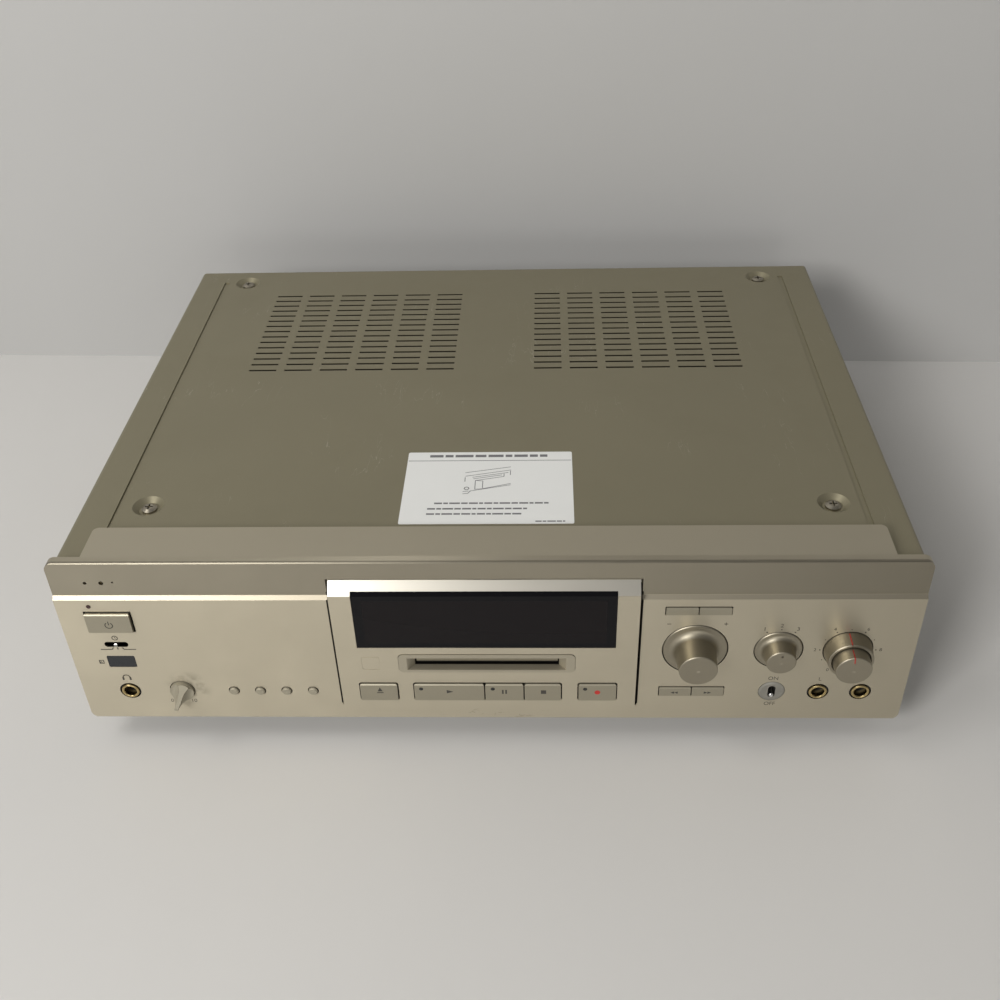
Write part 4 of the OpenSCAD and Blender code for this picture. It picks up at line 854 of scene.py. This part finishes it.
class DECK_OT_sockets(FinishOperator):
    """Jacks, toggle switch, timer lever and rear sockets"""

    bl_idname = "deck.sockets"
    bl_label = "Sockets and switches"

    def make(self, colours, sizes):
        brass = Paint("jack_metal", colours.brass, 1.0, 0.26)
        x, y, z = brass.axes()
        # The rounded lip in front and the bore behind it are bright, and what is round them is
        # painted black as shade in the recess
        front = brass.step(y, 0.9, 0.5)
        for middle_x, middle_z in (PHONES_JACK, LEFT_JACK, RIGHT_JACK):
            across, up = x - middle_x, z - middle_z
            bore = brass.step(across * across + up * up, 17.0, 16.0)
            front = front | bore * brass.step(y, 5.0, 2.0)
        tarnish = brass.noise(2.6, 3.0)
        tone = brass.shade(colours.brass, 0.78 + tarnish * 0.34)
        brass.feed("Base Color", brass.blend(front, (0.03, 0.03, 0.03), tone))
        brass.feed("Metallic", front)
        brass.feed("Roughness", 0.2 + tarnish * 0.16 + (1.0 - front) * 0.2)
        brass.rise(brass.noise(0.4, 1.0), 0.004)
        dress(brass.finish(), "front_jacks")

        rear_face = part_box("rear_panel")[1].y / MM - FRONT_Y
        for name in ("line_jacks", "digital_jacks"):
            gold = Paint(name + "_metal", colours.brass, 1.0, 0.24)
            _, y, z = gold.axes()
            out = gold.step(y, rear_face - 1.3, rear_face - 1.1)
            if name == "digital_jacks":
                out = out * gold.step(z, 45.0, 46.0)
            wear = gold.noise(3.0, 3.0)
            tone = gold.shade(colours.brass, 0.8 + wear * 0.3)
            gold.feed("Base Color", gold.blend(out, (0.025, 0.025, 0.025), tone))
            gold.feed("Metallic", out)
            gold.feed("Roughness", 0.2 + wear * 0.14 + (1.0 - out) * 0.22)
            gold.rise(gold.noise(0.4, 1.0), 0.004)
            dress(gold.finish(), name)

        tone = (0.022, 0.022, 0.023)
        inlet = Paint("inlet_plastic", tone, 0.0, 0.42)
        x, y, z = inlet.axes(middle("mains_inlet"))
        pins = inlet.inside(abs(x), 2.9, 5.6, 0.05) * inlet.step(abs(z), 1.4, 1.3)
        pins = pins * inlet.step(y, 6.8, 6.4)
        fine = inlet.noise(0.4, 2.0)
        plastic = inlet.shade(tone, 0.8 + fine * 0.5)
        inlet.feed("Base Color", inlet.blend(pins, plastic, (0.7, 0.7, 0.7)))
        inlet.feed("Metallic", pins)
        inlet.feed("Roughness", 0.36 + fine * 0.1)
        inlet.rise(fine, 0.01)
        dress(inlet.finish(), "mains_inlet")

        dress(plain_metal("toggle_plate", (0.37, 0.36, 0.325), 0.38, 4.0), "toggle_bush")
        dress(plain_metal("lever_chrome", (0.80, 0.80, 0.79), 0.12, 3.0), "mic_toggle")
        dress(plain_metal("lever_steel", (0.36, 0.35, 0.33), 0.3, 3.0), "timer_lever")


class DECK_OT_print(FinishOperator):
    """Printed marks on the front panel"""

    bl_idname = "deck.print"
    bl_label = "Front print"

    def make(self, colours, sizes):
        line = sizes.line
        marks = Drawing("front_print", 0.0, sizes.ink_rise)

        # Bracket of the timer switch, with a tick under its middle place
        marks.strokes([(-198.5, 50.9), (-192.6, 50.9), (-191.9, 52.1)], line)
        marks.strokes([(-180.4, 50.9), (-186.4, 50.9), (-187.1, 52.1)], line)
        marks.line((SWITCH_X, 51.0), (SWITCH_X, 52.1), line)
        clock = (SWITCH_X, 58.9)
        marks.arc(*clock, 1.4, 0.42, 0.0, 360.0, 20)
        marks.strokes([(clock[0], clock[1] + 0.85), clock, (clock[0] + 0.65, clock[1])], 0.34)

        # Square mark beside the sensor
        marks.strokes(
            [(-201.4, 40.8), (-199.2, 40.8), (-199.2, 43.0), (-201.4, 43.0), (-201.4, 40.8)], 0.42
        )
        marks.arc(-201.4, 41.0, 1.5, 0.3, 5.0, 85.0, 6)
        marks.dot(-200.9, 41.4, 0.42, 10)

        # Headphones over the phones jack, and the ends of the level's scale
        marks.arc(PHONES_JACK[0], 30.3, 1.9, 0.5, 0.0, 180.0)
        for side in (-1.9, 1.9):
            marks.bar(PHONES_JACK[0] + side, 29.5, 1.0, 1.9)
        marks.words("0", -168.9, 13.0, sizes.figure)
        marks.words("10", -157.2, 13.0, sizes.figure)

        # Minus and plus beside the jog knob
        for x, width, height in ((91.4, 2.0, 0.4), (119.4, 2.0, 0.4), (119.4, 0.4, 2.0)):
            marks.bar(x, 68.4, width, height)

        # Three places of the input knob
        for angle, figure in ((120.0, "1"), (90.0, "2"), (60.0, "3")):
            way = Vector((math.cos(math.radians(angle)), math.sin(math.radians(angle))))
            spot = INPUT_KNOB + way * DIAL_RADIUS
            marks.dot(*spot, 0.42, 12)
            marks.words(figure, *(spot + way * 2.6), sizes.figure)

        # Scale of the record level, from 0 to 10
        for step in range(11):
            angle = math.radians(240.0 - step * 30.0)
            way = Vector((math.cos(angle), math.sin(angle)))
            spot = LEVEL_KNOB + way * DIAL_RADIUS
            if step % 2:
                marks.dot(*spot, 0.3, 10)
            else:
                marks.dot(*spot, 0.42, 12)
                marks.words(str(step), *(spot + way * 2.4), sizes.figure * 0.86)

        # Toggle switch and the two jacks beside it
        marks.words("ON", TOGGLE_X, 30.2, sizes.figure)
        marks.words("OFF", TOGGLE_X, 11.6, sizes.figure)
        marks.words("L", LEFT_JACK[0], 29.7, sizes.figure)
        marks.words("R", RIGHT_JACK[0], 29.7, sizes.figure)
        slot = frame["record"]["subparts"][0].get("material_slot")
        marks.piece("case", ink("panel_ink", colours.ink, 0.5), slot)


class DECK_OT_label(FinishOperator):
    """Paper label on the cover, with plain grey bars"""

    bl_idname = "deck.label"
    bl_label = "Paper label"

    def make(self, colours, sizes):
        tone = (0.80, 0.805, 0.785)
        paper = Paint("label_paper", tone, 0.0, 0.55)
        fibre = paper.noise(0.5, 3.0)
        cloud = paper.noise(25.0, 2.0)
        paper.feed("Base Color", paper.shade(tone, 0.96 + fibre * 0.05 + cloud * 0.03))
        paper.feed("Roughness", 0.5 + fibre * 0.1)
        paper.rise(fibre, 0.006)
        dress(paper.finish(), "cover_label")

        low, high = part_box("cover_label")
        top = high.z / MM - FOOT_H
        centre = middle("cover_label")
        marks = Drawing("label_print", 0.0, 0.02)
        # A rule across the label, and strokes of a line drawing: a slot with a disc half out
        marks.bar(0.0, 23.9, (high.x - low.x) / MM - 1.0, 0.5)
        for x, z, end_x, end_z in (
            (-12.6, 12.6, 11.6, 17.8), (-12.4, 9.4, 11.8, 14.9), (-12.6, 8.2, -12.6, 4.6),
            (-8.6, 8.4, 10.4, 12.6), (-8.0, 7.0, 7.0, 10.4), (-7.0, 5.4, 8.2, 9.0),
            (8.2, 9.0, 8.2, 11.4), (11.6, 14.0, 11.6, 10.4), (-7.0, 5.4, -7.0, -2.4),
            (-3.0, 5.0, -3.0, -1.2), (-7.0, 5.4, -3.0, 5.0), (-7.0, -2.4, -3.0, -2.0),
            (-3.0, -2.0, 11.8, 2.6), (-9.6, -4.0, 11.8, 1.4), (-13.2, -4.4, -10.4, -4.0),
            (-13.2, -6.4, -10.6, -6.0), (-10.6, -6.0, -9.4, -4.2),
        ):
            marks.line((x, z), (end_x, end_z), 0.42)
        marks.arc(-11.4, -1.6, 1.2, 0.5, 0.0, 360.0, 10)
        # Rows of plain bars: the start, the end, the place and the height of each
        for row in (
            (-33.0, 31.6, 28.3, 2.3), (-27.7, 32.0, -14.6, 1.3), (-31.0, 21.6, -19.3, 1.3),
            (-31.2, 18.2, -23.7, 1.3), (25.2, 40.4, -30.0, 1.0),
        ):
            marks.bars(*row)
        # The drawing stands upright until here, and lies down on the label
        mesh = marks.mesh
        down = Matrix.Rotation(-math.pi / 2, 3, "X")
        bmesh.ops.rotate(mesh, matrix=down, verts=mesh.verts)
        bmesh.ops.translate(mesh, vec=(centre.x, centre.y, top), verts=mesh.verts)
        marks.piece("case", ink("label_ink", (0.17, 0.17, 0.175), 0.6), "label_paper")


class DECK_OT_case(FinishOperator):
    """Base, inner frame, rear panel and feet"""

    bl_idname = "deck.case"
    bl_label = "Case and feet"

    def make(self, colours, sizes):
        zinc = zinc_sheet("zinc_sheet", (0.52, 0.53, 0.52))
        dress(zinc, "base_chassis", "front_frame", "drive_frame")
        dress(zinc_sheet("holder_sheet", (0.60, 0.60, 0.59)), "cartridge_holder")
        tone = (0.035, 0.035, 0.037)
        rear = Paint("rear_paint", tone, 0.2, 0.45)
        grit, cloud = rear.noise(0.6, 2.0), rear.noise(40.0, 3.0)
        rear.feed("Base Color", rear.shade(tone, 0.8 + grit * 0.3 + cloud * 0.2))
        rear.feed("Roughness", 0.4 + grit * 0.12)
        rear.rise(grit, 0.015)
        dress(rear.finish(), "rear_panel")
        dress(moulded("foot_plastic", (0.03, 0.03, 0.031), 0.4), "feet")
        dress(moulded("foot_rubber", (0.035, 0.035, 0.035), 0.75, 0.5, 0.08), "foot_pads")


class DECK_OT_boards(FinishOperator):
    """Boards, display tube, power parts and controls behind the front"""

    bl_idname = "deck.boards"
    bl_label = "Boards and power parts"

    def make(self, colours, sizes):
        green, tan = (0.045, 0.16, 0.075), (0.30, 0.19, 0.085)
        dress(circuit("front_board_lacquer", green, 20.0, 21.6, "y"), "front_boards")
        dress(circuit("main_board_lacquer", green, 10.0, 11.6, "z"), "main_board")
        dress(circuit("power_board_lacquer", tan, 10.0, 11.6, "z"), "power_board")
        dress(circuit("tube_glass", green, 17.0, 18.6, "y", (0.03, 0.04, 0.04)), "display_tube")

        blue = (0.02, 0.03, 0.09)
        sleeve = Paint("capacitor_sleeve", blue, 0.0, 0.25)
        # Faces that look up are the bare lids
        side = sleeve.node("ShaderNodeNewGeometry", output="Normal")
        up = sleeve.node("ShaderNodeSeparateXYZ", inputs={0: side}, output="Z")
        lid = sleeve.step(up, 0.8, 0.9)
        stripe = sleeve.inside(sleeve.noise(13.0, 0.0), 0.52, 0.56, 0.004)
        tone = sleeve.blend(stripe, blue, (0.45, 0.47, 0.5))
        sleeve.feed("Base Color", sleeve.blend(lid, tone, (0.72, 0.73, 0.74)))
        sleeve.feed("Metallic", lid)
        sleeve.feed("Roughness", 0.24 + sleeve.noise(2.0, 2.0) * 0.1)
        dress(sleeve.finish(), "capacitors")

        black = satin_metal_paint("heat_sink_black", (0.045, 0.045, 0.05), 0.5, None, 0.8)
        dress(black, "heat_sink")

        iron = (0.14, 0.125, 0.11)
        core = Paint("transformer_core", iron, 0.6, 0.5)
        x, y, _ = core.axes(middle("mains_transformer"))
        sheets = core.node(
            "ShaderNodeTexWave", {"bands_direction": "Y"},
            {"Vector": core.place(), "Scale": 0.9, "Distortion": 0.4},
        )
        bobbin = core.step(abs(y), 26.0, 26.3) * core.step(abs(x), 24.5, 24.0)
        tape = core.shade((0.62, 0.42, 0.06), 0.8 + core.noise(5.0, 3.0) * 0.4)
        core.feed("Base Color", core.blend(bobbin, core.shade(iron, 0.6 + sheets * 0.8), tape))
        core.feed("Metallic", 0.6 - bobbin * 0.6)
        core.feed("Roughness", 0.5 - bobbin * 0.2)
        core.rise(sheets, 0.05)
        dress(core.finish(), "mains_transformer")

        dress(plain_metal("control_can", (0.52, 0.52, 0.51), 0.34), "rotary_parts", "drive_motors")


class DECK_OT_drive(FinishOperator):
    """Moving pieces of the disc drive"""

    bl_idname = "deck.drive"
    bl_label = "Disc drive"

    def make(self, colours, sizes):
        steel = plain_metal("bright_steel", (0.72, 0.72, 0.72), 0.16, 6.0)
        dress(steel, "guide_rods", "lead_screw", "head_arm")
        alloy = plain_metal("turntable_alloy", (0.62, 0.62, 0.62), 0.28, 5.0)
        dress(alloy, "spindle_turntable")

        black = (0.03, 0.032, 0.036)
        pickup = Paint("pickup_moulding", black, 0.0, 0.45)
        # The lens is in line with the spindle
        lens_place = (middle("optical_pickup").x + 1.5, middle("spindle_turntable").y, 0.0)
        x, y, z = pickup.axes(lens_place)
        lens = pickup.step(pickup.reach(x, y), 2.0, 1.9) * pickup.step(z, 30.9, 31.1)
        fine = pickup.noise(0.5, 2.0)
        tone = pickup.shade(black, 0.8 + fine * 0.4)
        pickup.feed("Base Color", pickup.blend(lens, tone, (0.10, 0.12, 0.30)))
        pickup.feed("Roughness", 0.42 - lens * 0.36 + fine * 0.08)
        pickup.rise(fine, 0.01)
        dress(pickup.finish(), "optical_pickup")

        dress(moulded("acetal", (0.70, 0.68, 0.61), 0.38, 0.5), "loading_slider", "loading_gear")


class DECK_OT_stage(FinishOperator):
    """Floor, backdrop, lamps and camera"""

    bl_idname = "deck.stage"
    bl_label = "Studio"

    def make(self, colours, sizes):
        scene = bpy.context.scene
        self.ground("floor", colours.floor)
        self.ground("backdrop", colours.wall, upright=True)
        stage = scene.deck_stage
        self.lamp("key_lamp", stage.key, (-1.1, -0.6, 1.9), 0.9)
        self.lamp("front_lamp", stage.front, (-0.95, -1.6, 1.15), 0.6)
        self.lamp("fill_lamp", stage.fill, (0.1, -2.3, 0.22), 0.9)
        world = bpy.data.worlds.new("studio")
        world.use_nodes = True
        light = world.node_tree.nodes["Background"].inputs
        light["Color"].default_value = (1.0, 0.99, 0.975, 1.0)
        light["Strength"].default_value = stage.sky
        scene.world = world
        scene.view_settings.view_transform = "Standard"

        camera = bpy.data.cameras.new("camera")
        camera.lens = stage.lens
        camera.sensor_width = 36.0
        camera.clip_start = 0.02
        holder = bpy.data.objects.new("camera", camera)
        scene.collection.objects.link(holder)
        # Yaw turns the camera to the left, pitch lowers it, and roll leans it
        level = Vector((-math.sin(stage.yaw), math.cos(stage.yaw), 0.0))
        side = Vector((math.cos(stage.yaw), math.sin(stage.yaw), 0.0))
        up = Vector((0.0, 0.0, 1.0))
        ahead = level * math.cos(stage.pitch) - up * math.sin(stage.pitch)
        over = level * math.sin(stage.pitch) + up * math.cos(stage.pitch)
        right = side * math.cos(stage.roll) - over * math.sin(stage.roll)
        over = side * math.sin(stage.roll) + over * math.cos(stage.roll)
        turn = Matrix((right, over, -ahead)).transposed().to_4x4()
        holder.matrix_world = Matrix.Translation(stage.eye) @ turn
        scene.camera = holder

    def ground(self, name, colour, upright=False):
        """A pale sheet: the floor, or the backdrop where it is upright."""
        mesh = bmesh.new()
        bmesh.ops.create_grid(mesh, x_segments=1, y_segments=1, size=SHEET_HALF_WIDTH)
        if upright:
            turn = Matrix.Rotation(math.radians(BACKDROP_TURN), 3, "Z")
            bmesh.ops.translate(mesh, vec=(0.0, SHEET_HALF_WIDTH, 0.0), verts=mesh.verts)
            bmesh.ops.rotate(mesh, matrix=Matrix.Rotation(math.pi / 2, 3, "X"), verts=mesh.verts)
            bmesh.ops.rotate(mesh, matrix=turn, verts=mesh.verts)
            bmesh.ops.translate(mesh, vec=(0.0, BACKDROP_Y, 0.0), verts=mesh.verts)
        data = bpy.data.meshes.new(name)
        mesh.to_mesh(data)
        mesh.free()
        paint = Paint(name, colour, 0.0, 0.6)
        paint.feed("Base Color", paint.shade(colour, 0.98 + paint.noise(160.0, 2.0) * 0.04))
        if upright:
            # The back of the backdrop lets the view through
            behind = paint.node("ShaderNodeNewGeometry", output="Backfacing")
            clear = paint.node("ShaderNodeBsdfTransparent")
            paint.mix(behind, Reading(paint, paint.shader.outputs[0]), clear)
        data.materials.append(paint.finish())
        sheet = bpy.data.objects.new(name, data)
        bpy.context.scene.collection.objects.link(sheet)

    def lamp(self, name, power, place, size):
        """A square soft lamp that looks at the deck, its place and size in metres."""
        light = bpy.data.lights.new(name, "AREA")
        light.energy = power
        light.size = size
        light.color = (1.0, 0.985, 0.96)
        holder = bpy.data.objects.new(name, light)
        bpy.context.scene.collection.objects.link(holder)
        aim = Vector((0.0, 0.0, 0.06)) - Vector(place)
        turn = aim.to_track_quat("-Z", "Y").to_matrix().to_4x4()
        holder.matrix_world = Matrix.Translation(place) @ turn


class DECK_PT_finishes(bpy.types.Panel):
    """Lists the deck's finishing steps"""

    bl_label = "Minidisc deck"
    bl_space_type = "VIEW_3D"
    bl_region_type = "UI"
    bl_category = "Deck"

    def draw(self, context):
        for group in (getattr(context.scene, name) for name in GROUPS):
            box = self.layout.box()
            for name in group.__annotations__:
                box.prop(group, name)
        for step in STEPS:
            self.layout.operator(step.bl_idname)


STEPS = (
    DECK_OT_front, DECK_OT_cover, DECK_OT_keys, DECK_OT_knobs, DECK_OT_window, DECK_OT_slot,
    DECK_OT_sockets, DECK_OT_print, DECK_OT_label, DECK_OT_case, DECK_OT_boards, DECK_OT_drive,
    DECK_OT_stage,
)
GROUPS = {"deck_colours": DeckColours, "deck_sizes": DeckSizes, "deck_stage": DeckStage}


def register():
    for group in GROUPS.values():
        bpy.utils.register_class(group)
    for name, group in GROUPS.items():
        setattr(bpy.types.Scene, name, PointerProperty(type=group))
    for step in (*STEPS, DECK_PT_finishes):
        bpy.utils.register_class(step)


def unregister():
    for step in (DECK_PT_finishes, *reversed(STEPS)):
        bpy.utils.unregister_class(step)
    for name in GROUPS:
        delattr(bpy.types.Scene, name)
    for group in reversed(GROUPS.values()):
        bpy.utils.unregister_class(group)


def main():
    """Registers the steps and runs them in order."""
    register()
    for step in STEPS:
        group, name = step.bl_idname.split(".")
        getattr(getattr(bpy.ops, group), name)()
    bpy.context.view_layer.update()


if __name__ == "__main__":
    main()
